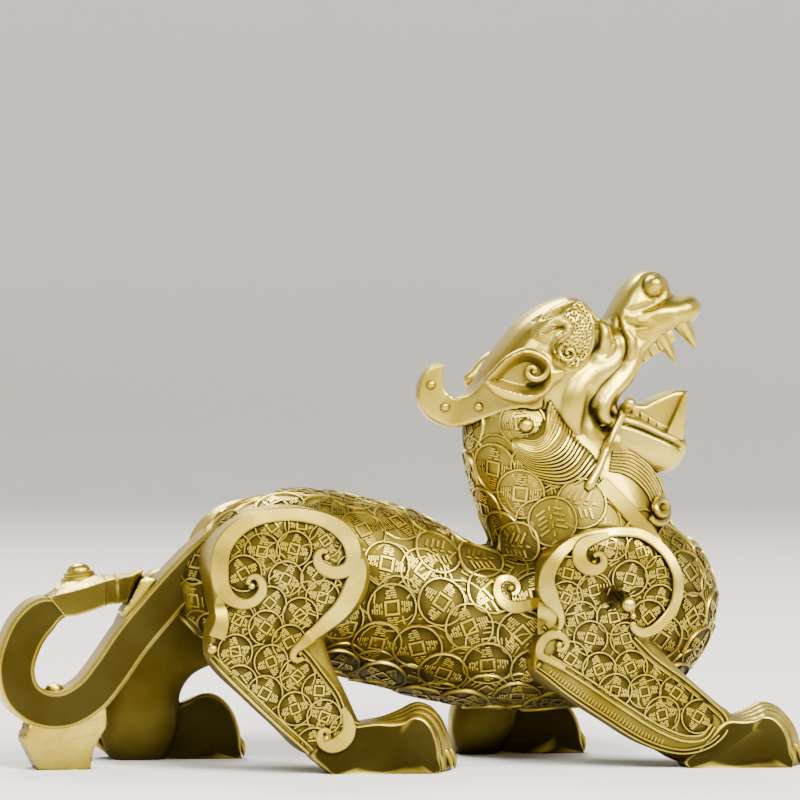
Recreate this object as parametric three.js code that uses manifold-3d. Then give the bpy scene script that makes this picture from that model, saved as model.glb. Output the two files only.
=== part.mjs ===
// Pixiu figure, a striding guardian animal in cast brass. The real one is a single hollow casting, and
// here it is solid. Millimetres, +Z up, head towards +X, right flank towards -Y, the feet on Z = 0.
import * as THREE from 'three';
import Module from 'manifold-3d';
import { mergeVertices } from 'three/addons/utils/BufferGeometryUtils.js';

// Overall size; the pose and the outlines are drawn in 320ths of the length.
const LENGTH = 320;                 // tail loop to front claws
const PART = LENGTH / 320;

// Girth of the body and stance, across Y.
const CHEST_WIDTH = 80;
const NECK_WIDTH = 50;              // at the throat
const SKULL_WIDTH = 43;
const MUZZLE_WIDTH = 27;
const LIP_OVERHANG = 3;             // how far the upper lip stands out past the muzzle on each side
const JAW_WIDTH = 29;
const STANCE = 82;                  // between the middles of a left and a right paw
const LIMB_WIDTH = 27;
const PAW_WIDTH = 26;

// Carving.
const SCROLL_FINENESS = 0.55;       // steps along a scroll, for each of its points
const BAND_WIDTH = 6.6;             // scroll bands on thigh and shoulder
const BAND_RELIEF = 2.6;
const RIM_WIDTH = 3.2;              // plain rims along the limbs
const COIN_DIAMETER = 20;           // coins on flank and neck
const SMALL_COIN_DIAMETER = 14;     // coins inside the scroll bands and on the limbs
const COIN_RELIEF = 1.1;
const COIN_ROOT = 4;                // how deep a coin reaches into the form that carries it
const COIN_SIDES = 8;
const BALL_DIAMETER = 5;            // cast rivet heads and curl ends

// Tail ribbon, horn plates, whisker rods, teeth and toes.
const RIBBON_FACE = 15;             // seen from the side
const RIBBON_DEPTH = 20;            // across Y
const HORN_TIP_THICKNESS = 8;
const HORN_ROOT_THICKNESS = 40;
const EAR_THICKNESS = 9;
const EAR_TURN = 10;                // degrees that the ears' tips close in over the nape
const ROD_DIAMETER = 4;
const ROD_SPREAD = 44;
const EYE_DIAMETER = 11;
const NOSTRIL_DIAMETER = 7.6;
const FANG_LENGTH = 10.5;
const FANG_ROOT = 0.28;             // share of a fang that is set in the gum
const FANG_DIAMETER = 5;
const TOOTH_PITCH = 4.2;
const TOOTH_COUNT = 3;
const TOOTH_DROP = 2.8;
const TOOTH_THICKNESS = 4;
const TOE_COUNT = 4;
const TOE_REACH = 20;               // length of the free toes
const TOE_GROOVE = 0.16;            // how deep the toes are parted, as a share of the paw
const CLAW_LENGTH = 4;
const STRAND_DIAMETER = 3;          // locks of the beard
const STRAND_COUNT = 4;

const BRASS = { color: 0xb59a3c, metalness: 1, roughness: 0.38 };

const wasm = await Module();
wasm.setup();

// A closed surface through rings of points, with each end closed by a fan.
function skin(rings) {
  const count = rings[0].length;
  const points = rings.flat();
  const faces = [];
  for (let i = 0; i + 1 < rings.length; i += 1) {
    for (let k = 0; k < count; k += 1) {
      const a = i * count + k;
      const b = i * count + (k + 1) % count;
      faces.push(a, b, a + count, b, b + count, a + count);
    }
  }
  const centre = (ring) => ring.reduce((sum, p) => sum.add(p), new THREE.Vector3()).divideScalar(count);
  const first = points.push(centre(rings[0])) - 1;
  const last = points.push(centre(rings.at(-1))) - 1;
  const lastRing = (rings.length - 1) * count;
  for (let k = 0; k < count; k += 1) {
    faces.push(first, (k + 1) % count, k, last, lastRing + k, lastRing + (k + 1) % count);
  }
  return solid(points, faces);
}

// A solid from points and triangles, turned outwards where it came out inwards.
function solid(points, faces) {
  let volume = 0;
  for (let f = 0; f < faces.length; f += 3) {
    const [a, b, c] = [points[faces[f]], points[faces[f + 1]], points[faces[f + 2]]];
    volume += a.dot(new THREE.Vector3().crossVectors(b, c));
  }
  const triVerts = Uint32Array.from(volume < 0 ? [...faces].reverse() : faces);
  const vertProperties = Float32Array.from(points.flatMap((p) => [p.x, p.y, p.z]));
  return new wasm.Manifold(new wasm.Mesh({ numProp: 3, vertProperties, triVerts }));
}

function solidOfGeometry(geometry) {
  geometry.deleteAttribute('normal');
  geometry.deleteAttribute('uv');
  const merged = mergeVertices(geometry, 1e-3);
  const position = merged.attributes.position;
  const points = [];
  for (let i = 0; i < position.count; i += 1) {
    points.push(new THREE.Vector3().fromBufferAttribute(position, i));
  }
  return solid(points, [...merged.index.array]);
}

// A smooth line through [x, z, ...] rows, sampled evenly; the further values are carried along with it.
function resample(rows, steps) {
  const first = rows.map((r) => new THREE.Vector3(r[0], r[1], r[2] ?? 0));
  const second = rows.map((r) => new THREE.Vector3(r[3] ?? 0, r[4] ?? 0, 0));
  const way = new THREE.CatmullRomCurve3(first, false, 'centripetal');
  const rest = new THREE.CatmullRomCurve3(second, false, 'centripetal');
  return Array.from({ length: steps + 1 }, (_, i) => {
    const a = way.getPoint(i / steps);
    const b = rest.getPoint(i / steps);
    return [a.x, a.y, a.z, b.x, b.y];
  });
}

const bulge = (value, fullness) => Math.sign(value) * Math.abs(value) ** (2 / fullness);

// A trunk: rows of [x, z, half height, half width, y] along its middle line, with sections square to it.
function loft(rows, { steps, sides, width = 1, grow = 0, fullness = 2 }) {
  const line = resample(rows, steps);
  return skin(line.map(([x, z, high, wide, y], i) => {
    const before = line[Math.max(i - 1, 0)];
    const after = line[Math.min(i + 1, steps)];
    const along = new THREE.Vector2(after[0] - before[0], after[1] - before[1]).normalize();
    return Array.from({ length: sides }, (_, k) => {
      const turn = (k + 0.5) / sides * Math.PI * 2;
      const up = (high * PART + grow) * bulge(Math.sin(turn), fullness);
      const out = (wide * width + grow) * bulge(Math.cos(turn), fullness);
      return new THREE.Vector3(x * PART - along.y * up, y * width + out, z * PART + along.x * up);
    });
  }));
}

// A cushioned form: a side outline of [x, z] points, full in its middle plane and drawn in to both faces.
function pillow(outline, middle, options) {
  const { y, depth, layers = 6, fullness = 2.4, grow = 0, points = outline.length } = options;
  const corners = outline.map(([x, z]) => new THREE.Vector3(x, 0, z));
  const closed = new THREE.CatmullRomCurve3(corners, true, 'centripetal');
  const ring = Array.from({ length: points }, (_, k) => closed.getPoint(k / points).multiplyScalar(PART));
  const heart = new THREE.Vector3(middle[0], 0, middle[1]).multiplyScalar(PART);
  return skin(Array.from({ length: layers }, (_, i) => {
    const turn = ((i + 0.5) / layers - 0.5) * Math.PI;
    const out = bulge(Math.sin(turn), fullness);
    const size = bulge(Math.cos(turn), fullness);
    return ring.map((p) => {
      const arm = p.clone().sub(heart);
      arm.setLength(arm.length() * size + grow);
      return heart.clone().add(arm).setY(y + out * (depth + grow));
    });
  }));
}

// A flat plate standing in the XZ plane: an outline of [x, z] points, as thick as told, its middle at y.
function plate(outline, y, thickness) {
  const shape = new THREE.Shape(outline.map(([x, z]) => new THREE.Vector2(x, z)));
  const geometry = new THREE.ExtrudeGeometry(shape, { depth: thickness, bevelEnabled: false });
  geometry.rotateX(Math.PI / 2).translate(0, y + thickness / 2, 0);
  return solidOfGeometry(geometry);
}

const onGrid = (rows) => rows.map(([x, z]) => [x * PART, z * PART]);

// The outline of a band about a middle line of [x, z, share of its width] rows.
function band(rows, width, steps) {
  const line = resample(rows, steps);
  const edge = (side) => line.map(([x, z, share], i) => {
    const before = line[Math.max(i - 1, 0)];
    const after = line[Math.min(i + 1, steps)];
    const along = new THREE.Vector2(after[0] - before[0], after[1] - before[1]).normalize();
    const half = side * share * width / 2;
    return [x * PART - along.y * half, z * PART + along.x * half];
  });
  return [...edge(1), ...edge(-1).reverse()];
}

function ball(x, y, z, diameter) {
  const geometry = new THREE.SphereGeometry(diameter / 2, 6, 4);
  geometry.translate(x * PART, y, z * PART);
  return solidOfGeometry(geometry);
}

// A low round stud that stands out from a side.
function stud(x, y, z, diameter, side) {
  const geometry = new THREE.CylinderGeometry(diameter * 0.28, diameter / 2, diameter * 0.7, 5);
  geometry.rotateX(side * Math.PI / 2).translate(x * PART, y, z * PART);
  return solidOfGeometry(geometry);
}

// A round rod or lock of hair along a list of [x, y, z] points.
function rod(points, diameter, sides, steps) {
  const route = points.map(([x, y, z]) => new THREE.Vector3(x * PART, y, z * PART));
  const shape = new THREE.Shape(Array.from({ length: sides }, (_, k) => {
    const turn = k / sides * Math.PI * 2;
    return new THREE.Vector2(Math.cos(turn), Math.sin(turn)).multiplyScalar(diameter / 2);
  }));
  const path = new THREE.CatmullRomCurve3(route, false, 'centripetal');
  const settings = { steps, bevelEnabled: false, extrudePath: path };
  return solidOfGeometry(new THREE.ExtrudeGeometry(shape, settings));
}

// A fang: a four-sided point from the middle of its base to its tip.
function fang(x, y, z, towardsX, towardsZ, length, diameter) {
  const geometry = new THREE.ConeGeometry(diameter / 2, length, 4);
  const way = new THREE.Vector3(towardsX, 0, towardsZ).normalize();
  geometry.translate(0, length * (0.5 - FANG_ROOT), 0);
  geometry.applyQuaternion(new THREE.Quaternion().setFromUnitVectors(new THREE.Vector3(0, 1, 0), way));
  geometry.translate(x * PART, y, z * PART);
  return solidOfGeometry(geometry);
}

const join = (list) => wasm.Manifold.union(list);
const sides = [-1, 1];              // -1 is the right side, towards the viewer

// Trunk from rump to chest, and neck.
const TRUNK = [
  [-90, 77, 8, 9, 0], [-82, 74.5, 19, 20, 0], [-72, 73.5, 27, 29, 0], [-58, 73.5, 33, 35, 0],
  [-42, 73, 36, 37, 0], [-22, 71, 35.5, 36, 0], [-2, 65, 34.5, 35, 0], [16, 57.5, 32.5, 35.5, 0],
  [34, 54, 32, 37, 0], [54, 55, 34, 40, 0], [74, 58.5, 36.5, 41, 0], [94, 61.5, 37, 39, 0],
  [110, 63.5, 32, 33, 0], [121, 64.5, 22.5, 24, 0], [127.5, 64.5, 11, 12, 0],
];
const NECK = [
  [78, 72, 36, 36, 0], [74, 91, 35.5, 34, 0], [69, 104, 36, 30, 0], [60, 116, 32, 27, 0],
  [52, 128, 27, 25, 0], [47, 140, 21, 21, 0], [45, 149, 13, 14, 0],
];
const THROAT_ROW = 3;
const chestHalf = Math.max(...TRUNK.map((row) => row[3]));
const throatHalf = NECK[THROAT_ROW][3];
const trunk = (grow) => loft(TRUNK, { steps: 14, sides: 14, width: CHEST_WIDTH / 2 / chestHalf, grow });
const neck = (grow) => loft(NECK, { steps: 5, sides: 12, width: NECK_WIDTH / 2 / throatHalf, grow });

// Limbs: outlines of the near side; a far limb is the same limb set back along X.
const THIGH = [
  [-83, 72], [-84, 81], [-82, 88], [-76, 95], [-67, 101], [-57, 104], [-45, 104], [-35, 101], [-29, 95],
  [-24, 87], [-22, 78], [-24, 68], [-29, 61], [-36, 55], [-44, 50], [-56, 48], [-70, 50], [-80, 60],
];
const SHANK = [
  [-85, 52], [-71, 36], [-56, 23], [-43, 11], [-35, 0], [-24, -3], [-20, 10], [-25, 22], [-30, 33],
  [-35, 43], [-40, 54], [-52, 64], [-72, 66],
];
const HIND_PAW = [
  [-41, 9], [-36, 18], [-30, 23], [-24, 22.5], [-14, 20.5], [-7, 22], [-1, 25], [4, 24], [9, 19],
  [12, 12], [12, 4], [9, -4], [-34, -4],
];
const SHOULDER = [
  [51, 60], [50, 75], [53, 83], [60, 89.5], [69, 94], [79, 94.5], [87, 92], [94, 87], [100, 81],
  [104, 73], [103, 65], [98, 57], [90, 51], [78, 48], [64, 48], [55, 52],
];
const FOREARM = [
  [51, 53], [48, 44], [53, 35], [69, 24], [84, 14], [95, 7], [104, 2], [116, 1], [127, 6], [128, 19],
  [121, 25], [105, 39], [92, 52], [80, 61], [62, 62],
];
const FORE_PAW = [
  [102, 6], [112, 14.5], [120, 20.5], [128, 21], [134, 22], [140, 22.5], [146, 20.5], [151, 16],
  [154, 10], [155, 4], [153, -4], [106, -4],
];
const FAR_SHANK = [
  [-96, 76], [-108, 60], [-115, 42], [-118, 22], [-115, 4], [-106, -3], [-92, -2], [-85, 12], [-84, 26],
  [-79, 34], [-68, 40], [-60, 56], [-72, 76],
];
const FAR_FOREARM = [
  [27, 10], [30, 24], [38, 38], [44, 52], [56, 64], [76, 68], [88, 60], [80, 46], [66, 34], [56, 22],
  [52, 8], [44, -2], [32, -2],
];
const shift = (outline, dx) => outline.map(([x, z, ...rest]) => [x + dx, z, ...rest]);
const HIND_STRIDE = -74;            // how far back the left hind foot stands, on the grid
const FORE_STRIDE = -75;
const THIGH_SETBACK = 6;            // the left thigh stands a little further forward
const limbY = (side) => side * (STANCE / 2 - 3);
const pawY = (side) => side * STANCE / 2;

const thigh = (side, grow) => {
  const back = side > 0 ? THIGH_SETBACK : 0;
  return pillow(shift(THIGH, back), [-53 + back, 76], {
    y: side * STANCE * 0.29, depth: STANCE * 0.29, layers: 5, fullness: 2.8, points: 15, grow,
  });
};
const shoulder = (side, grow) => pillow(SHOULDER, [77, 71], {
  y: side * STANCE * 0.31, depth: STANCE * 0.28, layers: 5, fullness: 2.8, points: 14, grow,
});
const shank = (side, grow) => pillow(side < 0 ? SHANK : FAR_SHANK, side < 0 ? [-52, 36] : [-95, 34], {
  y: limbY(side), depth: LIMB_WIDTH / 2, layers: 4, fullness: 3.2, grow,
});
const forearm = (side, grow) => pillow(side < 0 ? FOREARM : FAR_FOREARM, side < 0 ? [86, 32] : [54, 36], {
  y: limbY(side), depth: LIMB_WIDTH / 2, layers: 4, fullness: 3.2, grow,
});

// A paw, skinned from side to side: a ring in the middle of each toe with its claw, and one in each groove.
function paw(outline, middle, side, back) {
  const heart = new THREE.Vector2(middle[0], middle[1]);
  const toePitch = PAW_WIDTH / TOE_COUNT;
  const front = Math.max(...outline.map(([x]) => x)) - TOE_REACH;
  const ring = (across, draw, claw) => {
    const splay = 1 - 0.14 * (across / (PAW_WIDTH / 2)) ** 2;
    return outline.map(([x, z], k) => {
      const arm = new THREE.Vector2(x, z).sub(heart);
      const toe = THREE.MathUtils.clamp((x - front) / (TOE_REACH * 0.5), 0, 1) * (z < 1 ? 0.4 : 1);
      arm.multiplyScalar(splay * (1 - draw * toe)).add(heart);
      const point = claw && k === claw ? CLAW_LENGTH : 0;
      const reach = (arm.x + back) * PART + point;
      return new THREE.Vector3(reach, pawY(side) + across, arm.y * PART - point * 0.5);
    });
  };
  const claw = outline.findIndex(([x, z]) => z < 8 && x > front + TOE_REACH * 0.8);
  const rings = [ring(-PAW_WIDTH / 2, 0.3, 0)];
  for (let k = 0; k < TOE_COUNT; k += 1) {
    const middleOfToe = (k + 0.5) * toePitch - PAW_WIDTH / 2;
    rings.push(ring(middleOfToe, 0, claw));
    if (k + 1 < TOE_COUNT) rings.push(ring(middleOfToe + toePitch / 2, TOE_GROOVE, 0));
  }
  rings.push(ring(PAW_WIDTH / 2, 0.3, 0));
  return skin(rings);
}

// Scroll bands, as middle lines of [x, z, share of the band's width].
const THIGH_BANDS = [
  [[-67, 75, 0.5], [-65, 72, 0.6], [-66.5, 69, 0.65], [-71, 68, 0.7], [-77, 71, 0.8], [-80.5, 78, 1],
    [-79, 86, 1], [-73, 93, 1], [-63, 98.5, 1], [-51, 100.5, 1], [-41, 99.5, 1], [-32, 95, 1],
    [-27, 88, 1.1], [-27, 82, 1], [-31, 78.5, 0.8], [-37, 79, 0.7], [-41, 82, 0.6], [-40, 85.5, 0.55],
    [-37, 85, 0.5]],
  [[-25, 80, 0.5], [-25.5, 73, 0.9], [-29, 66, 1], [-35, 60, 1], [-41, 55.5, 0.9], [-46, 52, 0.7],
    [-48, 49, 0.5]],
  [[-80.5, 73, 0.4], [-82, 66, 0.9], [-82, 60, 1.2], [-84, 55, 1]],
];
const SHOULDER_BANDS = [
  [[53, 57, 1.5], [52, 64, 1.1], [52, 72, 0.8], [54, 80, 0.7], [59, 86, 0.75], [67, 90.5, 0.8],
    [76, 91.5, 0.8], [85, 89.5, 0.8], [93, 84, 0.8], [99, 76.5, 0.8], [101, 69, 0.8], [98.5, 62, 0.8],
    [93, 57, 0.75], [88, 55, 0.7], [84.5, 57.5, 0.5]],
  [[71, 91, 0.5], [64, 89, 0.8], [61.5, 84, 0.9], [64, 79.5, 0.9], [69, 78.5, 0.8], [72, 81.5, 0.6]],
  [[50, 61, 0.6], [44, 63.5, 0.7], [38, 65, 0.7], [35, 69, 0.6], [37, 73, 0.5], [40, 72, 0.45]],
];
const CHEST_BAND = [[76, 115, 0.6], [84, 107, 0.6], [94, 97.5, 0.65], [105, 87, 0.7]];
const FOREARM_BANDS = [
  [[58, 49, 1.2], [55, 47, 1.2], [53, 42, 1.2], [58, 35.5, 1.1], [70, 27.5, 1], [84, 17.5, 1],
    [97, 9, 1], [108, 7.5, 1], [115, 12, 1], [113, 17, 0.9]],
  [[92, 49, 1], [104, 37, 1], [117, 25, 1], [121, 20, 0.8]],
];
const SHANK_BANDS = [
  [[-82, 49, 1], [-70, 37, 1], [-56, 25.5, 1], [-45, 15.5, 1], [-40, 10, 0.8]],
  [[-38, 14, 0.8], [-36, 10.5, 1], [-31, 11, 1.3], [-28, 16, 1.5], [-29, 23, 1.3], [-34, 33, 1],
    [-39, 42, 0.9], [-45, 49, 0.8]],
];

const scroll = (rows) => band(rows, BAND_WIDTH, Math.ceil(rows.length * SCROLL_FINENESS));
const limbRim = (rows) => band(rows, RIM_WIDTH, Math.ceil(rows.length * SCROLL_FINENESS * 0.75));

// Raised bands: outlines pushed through the form grown by the relief, so that they keep its swell.
function raise(form, outlines, side) {
  const cutters = outlines.map((outline) => plate(outline, side * STANCE / 2, STANCE * 0.5));
  return form.intersect(join(cutters));
}

// Coins in rows on a form: thin discs lying on its surface, each lifted along one edge like a scale.
function surfaceFinder(form) {
  const mesh = form.getMesh();
  const geometry = new THREE.BufferGeometry();
  geometry.setAttribute('position', new THREE.Float32BufferAttribute(mesh.vertProperties, 3));
  geometry.setIndex([...mesh.triVerts]);
  const target = new THREE.Mesh(geometry, new THREE.MeshBasicMaterial({ side: THREE.DoubleSide }));
  const ray = new THREE.Raycaster();
  return (x, z, side) => {
    ray.set(new THREE.Vector3(x * PART, side * LENGTH, z * PART), new THREE.Vector3(0, -side, 0));
    return ray.intersectObject(target)[0];
  };
}

function coins(form, places, side, diameter) {
  const find = surfaceFinder(form);
  const pieces = [];
  for (const [x, z] of places) {
    const hit = find(x, z, side);
    if (hit) {
      const radius = diameter / 2;
      const disc = new THREE.CylinderGeometry(radius, radius, COIN_ROOT + COIN_RELIEF, COIN_SIDES);
      disc.translate(0, (COIN_RELIEF - COIN_ROOT) / 2, 0);
      const way = hit.face.normal.clone().add(new THREE.Vector3(-0.06, 0, -0.04)).normalize();
      disc.applyQuaternion(new THREE.Quaternion().setFromUnitVectors(new THREE.Vector3(0, 1, 0), way));
      disc.translate(hit.point.x, hit.point.y, hit.point.z);
      pieces.push(solidOfGeometry(disc));
    }
  }
  return pieces;
}

const FLANK_COINS = [[-10, 80], [-8, 56], [10, 68], [9, 46], [27, 58], [42, 70], [41, 46]];
const FAR_FLANK_COINS = [[2, 64], [24, 57]];
const NECK_COINS = [[44, 99]];
const CHEST_COINS = [[113, 64]];
const THIGH_COINS = [[-63, 86], [-51, 84], [-57, 71]];
const SHOULDER_COINS = [[84, 79], [80, 65]];
const FOREARM_COINS = [[74, 38]];
const SHANK_COINS = [[-59, 39]];

// Head: outlines of the middle plane, and the hearts that the forms are drawn in to.
const SKULL_HEART = [60, 157];
const MUZZLE_HEART = [93, 172];
const LIP_HEART = [106, 178];
const JAW_HEART = [95, 129];
const BROW_HEART = [65, 172];
const EAR_HEART = [48, 155];
const SKULL = [
  [32, 154], [35, 160.5], [41, 168.5], [47, 175.5], [54, 181], [62, 185], [69, 186.5], [75, 184],
  [80, 178], [85, 171], [87, 160], [84, 150], [78, 139], [71, 128], [62, 125], [50, 131], [38, 142],
];
const MUZZLE = [
  [79, 172], [84, 178], [88, 185], [92, 191.6], [96, 196.4], [101, 198.6], [106, 197.4], [109.5, 193.2],
  [111, 187.5], [116, 186.5], [122, 185], [122, 180], [116, 175.5], [106, 170], [99, 166.5], [96, 160],
  [92, 152], [88, 146], [81, 145], [77, 152], [75, 163],
];
const LIP = [
  [88, 174], [96, 177], [106, 182], [115, 186], [121, 186], [123, 182.5], [120, 176.5], [111, 172.5],
  [102, 168.5], [92, 167],
];
const LIP_FOLD = [
  [90, 172, 0.8], [87, 165, 1], [86, 158, 1.1], [82, 149, 1.2], [79, 140, 1.2], [82, 134, 1],
  [87, 137, 0.7],
];
const JAW = [
  [72, 127], [77, 137], [84, 142.5], [91, 141], [99, 137.5], [107, 133.5], [115, 130], [117, 127],
  [115, 121], [111, 116.5], [105, 115], [97, 117], [88, 120.5], [78, 122],
];
const TONGUE = [
  [86, 146], [97, 143], [104, 145.5], [110, 148], [113.5, 149], [114, 139], [114.5, 130], [106, 131],
  [95, 134], [86, 138],
];
const BIG_TOOTH = [[114, 150.5], [116.5, 143], [115, 129], [105.5, 133]];
const BROW = [[50, 171], [59, 182], [68, 184.5], [76, 177], [76, 164], [70, 158.5], [60, 163]];
const EAR = [
  [29, 154], [38, 161], [48, 165.5], [58, 162], [64, 156.5], [56, 146.5], [46, 143.5], [36, 147.5],
];
const HORN = [
  [18, 159.5], [11, 156], [7, 149], [7.5, 142], [12, 137], [21.5, 134.5], [33, 136.5], [52, 143],
  [44, 153], [34, 151.5], [28.5, 146.5], [23, 146], [18.5, 151.5],
];
const HORN_STUDS = [[12.5, 151], [18, 142], [29.5, 141.5]];
const FANGS = [[115, 174.5, 0.35], [107.5, 171, 0.25]];     // places, and how far each leans forward
const EYE = [80, 170];
const NOSTRIL = [102, 190.5];
const JAW_STUD = [88, 140.5];
const NECK_STUD = [48, 135];
const EAR_CURL = [51.5, 156];
const TOOTH_ROW = [96, 160];                                // the hindmost tooth's root

function head() {
  const halfMuzzle = MUZZLE_WIDTH / 2;
  const skull = pillow(SKULL, SKULL_HEART, {
    y: 0, depth: SKULL_WIDTH / 2, layers: 5, fullness: 2.6, points: 15,
  });
  const muzzle = pillow(MUZZLE, MUZZLE_HEART, {
    y: 0, depth: halfMuzzle, layers: 4, fullness: 3, points: 18,
  });
  const lip = pillow(LIP, LIP_HEART, { y: 0, depth: halfMuzzle + LIP_OVERHANG, layers: 5, fullness: 2.6 });
  const jaw = pillow(JAW, JAW_HEART, { y: 0, depth: JAW_WIDTH / 2, layers: 5, fullness: 3 });
  const tongue = plate(onGrid(TONGUE), 0, JAW_WIDTH * 0.7);
  const pieces = [skull, muzzle, lip, jaw, tongue, horn()];
  const foldForm = pillow(MUZZLE, MUZZLE_HEART, {
    y: 0, depth: SKULL_WIDTH / 2, layers: 5, fullness: 3, grow: RIM_WIDTH * 2,
  });
  pieces.push(foldForm.intersect(plate(band(LIP_FOLD, RIM_WIDTH, 6), 0, SKULL_WIDTH * 0.92)));
  for (const side of sides) {
    const gum = side * (halfMuzzle - FANG_DIAMETER / 2);
    for (const [x, z, lean] of FANGS) {
      pieces.push(fang(x, gum, z, lean, -1, FANG_LENGTH, FANG_DIAMETER));
    }
    pieces.push(plate(toothRow(), gum, TOOTH_THICKNESS));
    pieces.push(plate(onGrid(BIG_TOOTH), side * (JAW_WIDTH * 0.35), TOOTH_THICKNESS));
    const browY = side * SKULL_WIDTH * 0.36;
    pieces.push(pillow(BROW, BROW_HEART, { y: browY, depth: SKULL_WIDTH * 0.18, layers: 3 }));
    pieces.push(ball(EYE[0], browY, EYE[1], EYE_DIAMETER));
    pieces.push(stud(NOSTRIL[0], side * MUZZLE_WIDTH * 0.44, NOSTRIL[1], NOSTRIL_DIAMETER, side));
    pieces.push(stud(JAW_STUD[0], side * JAW_WIDTH * 0.45, JAW_STUD[1], BALL_DIAMETER * 1.3, side));
    pieces.push(stud(NECK_STUD[0], side * SKULL_WIDTH * 0.54, NECK_STUD[1], BALL_DIAMETER * 1.6, side));
    pieces.push(ear(side));
    pieces.push(rod([[90, side * JAW_WIDTH * 0.35, 139], [87, side * ROD_SPREAD * 0.42, 144],
      [80, side * ROD_SPREAD / 2, 128], [72.5, side * ROD_SPREAD * 0.52, 111]], ROD_DIAMETER, 6, 3));
  }
  return join(pieces);
}

// The row of small square teeth behind the fangs, along the edge of the upper jaw.
function toothRow() {
  const along = new THREE.Vector2(0.64, 0.77);
  const down = new THREE.Vector2(0.77, -0.64);
  const root = new THREE.Vector2(...TOOTH_ROW).multiplyScalar(PART);
  const place = (far, deep) => {
    const p = root.clone().addScaledVector(along, far).addScaledVector(down, deep);
    return [p.x, p.y];
  };
  const outline = [place(0, -2.5)];
  for (let k = 0; k < TOOTH_COUNT; k += 1) {
    outline.push(place(k * TOOTH_PITCH, 0.6), place((k + 0.15) * TOOTH_PITCH, TOOTH_DROP));
    outline.push(place((k + 0.85) * TOOTH_PITCH, TOOTH_DROP));
  }
  outline.push(place(TOOTH_COUNT * TOOTH_PITCH, -2.5));
  return outline;
}

function ear(side) {
  const leaf = pillow(EAR, EAR_HEART, { y: 0, depth: EAR_THICKNESS / 2, layers: 3, fullness: 3 });
  const [heartX, heartZ] = EAR_HEART;
  const inner = EAR.map(([x, z]) => [heartX + (x - heartX) * 0.72, heartZ + (z - heartZ) * 0.72]);
  const hollow = pillow(inner, EAR_HEART, {
    y: side * EAR_THICKNESS * 0.6, depth: EAR_THICKNESS * 0.5, layers: 3, fullness: 2.4,
  });
  const whole = leaf.subtract(hollow).add(stud(EAR_CURL[0], 0, EAR_CURL[1], BALL_DIAMETER * 1.2, side));
  const front = Math.max(...EAR.map(([x]) => x)) * PART;
  const turned = whole.translate([-front, 0, 0]).rotate([0, 0, side * EAR_TURN]);
  return turned.translate([front, side * SKULL_WIDTH * 0.54, 0]);
}

// The horn: one curled plate, as broad as the nape at its root and thin at its tip, studded on both sides.
const hornHalf = (x) => {
  const root = Math.max(...HORN.map((p) => p[0])) * PART;
  const share = THREE.MathUtils.smoothstep(x, HORN_STUDS[0][0] * PART, root);
  return THREE.MathUtils.lerp(HORN_TIP_THICKNESS, HORN_ROOT_THICKNESS, share) / 2;
};
function horn() {
  const shape = new THREE.Shape(onGrid(HORN).map(([x, z]) => new THREE.Vector2(x, z)));
  const geometry = new THREE.ExtrudeGeometry(shape, { depth: 2, bevelEnabled: false });
  geometry.rotateX(Math.PI / 2).translate(0, 1, 0);
  const position = geometry.attributes.position;
  for (let i = 0; i < position.count; i += 1) {
    position.setY(i, position.getY(i) * hornHalf(position.getX(i)));
  }
  const pieces = [solidOfGeometry(geometry)];
  for (const side of sides) {
    for (const [x, z] of HORN_STUDS) {
      pieces.push(stud(x, side * hornHalf(x * PART), z, BALL_DIAMETER * 0.8, side));
    }
  }
  return join(pieces);
}

// Beard: locks that fan out from the cheek over the neck, and a goatee under the jaw with a curled end.
function beard(side) {
  const pieces = [];
  for (let k = 0; k < STRAND_COUNT; k += 1) {
    const t = k / (STRAND_COUNT - 1);
    const start = [42 + 3 * t, 130 - 1.5 * t];
    const sag = [52 + 5 * t, 136 - 20 * t];
    const end = [60 + 15 * t, 143 - 23 * t];
    const y = side * NECK_WIDTH / 2;
    pieces.push(rod([[start[0], y * 0.86, start[1]], [sag[0], y * 1.02, sag[1]], [end[0], y * 0.9, end[1]]],
      STRAND_DIAMETER, 3, 2));
  }
  for (let k = 0; k < 2; k += 1) {
    const drop = k * STRAND_DIAMETER * 0.8;
    const y = side * (JAW_WIDTH / 2 - 4);
    pieces.push(rod([[78, y * 1.3, 123 - drop], [91, y * 1.1, 120 - drop], [101, y * 0.9, 111 - drop * 0.4],
      [104 + k, y * 0.8, 101]], STRAND_DIAMETER, 3, 2));
  }
  pieces.push(ball(103, side * (JAW_WIDTH / 2 - 5), 100.5, BALL_DIAMETER * 1.5));
  return join(pieces);
}

// Tail: a square ribbon from the rump down to its block, round in a loop, with its tuft laid back on it.
const RIBBON = [
  [-70, 91, 0.9], [-81, 82, 1], [-90.5, 72.5, 1], [-100, 62, 1], [-110, 50, 1], [-118, 38.5, 1],
  [-126, 29, 1], [-136, 24, 1], [-146, 24.5, 1], [-153.5, 30, 1], [-156, 39, 1], [-154, 48, 1],
  [-149.5, 57, 1], [-143, 63, 0.98], [-133, 67.5, 0.92], [-122, 69.5, 0.8],
];
const TUFT = [
  [-144, 70], [-137, 75], [-129, 77], [-118, 77], [-106, 79], [-103, 74], [-109, 67], [-114, 65],
  [-122, 68], [-136, 66],
];
const GROUND_BLOCK = [
  [-150, 19], [-153, 12], [-146, -2], [-126, -2], [-125, 7], [-119, 18], [-120, 26], [-140, 28],
];

function tail() {
  const pieces = [plate(band(RIBBON, RIBBON_FACE, 22), 0, RIBBON_DEPTH)];
  pieces.push(plate(onGrid(TUFT), 0, RIBBON_DEPTH * 1.15));
  pieces.push(plate(onGrid(GROUND_BLOCK), 0, RIBBON_DEPTH));
  const insideLoop = 24.2 + (RIBBON_FACE + BALL_DIAMETER * 0.4) / 2 / PART;
  pieces.push(ball(-130, 0, 78, BALL_DIAMETER * 2), ball(-141, 0, insideLoop, BALL_DIAMETER));
  return join(pieces);
}

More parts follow.
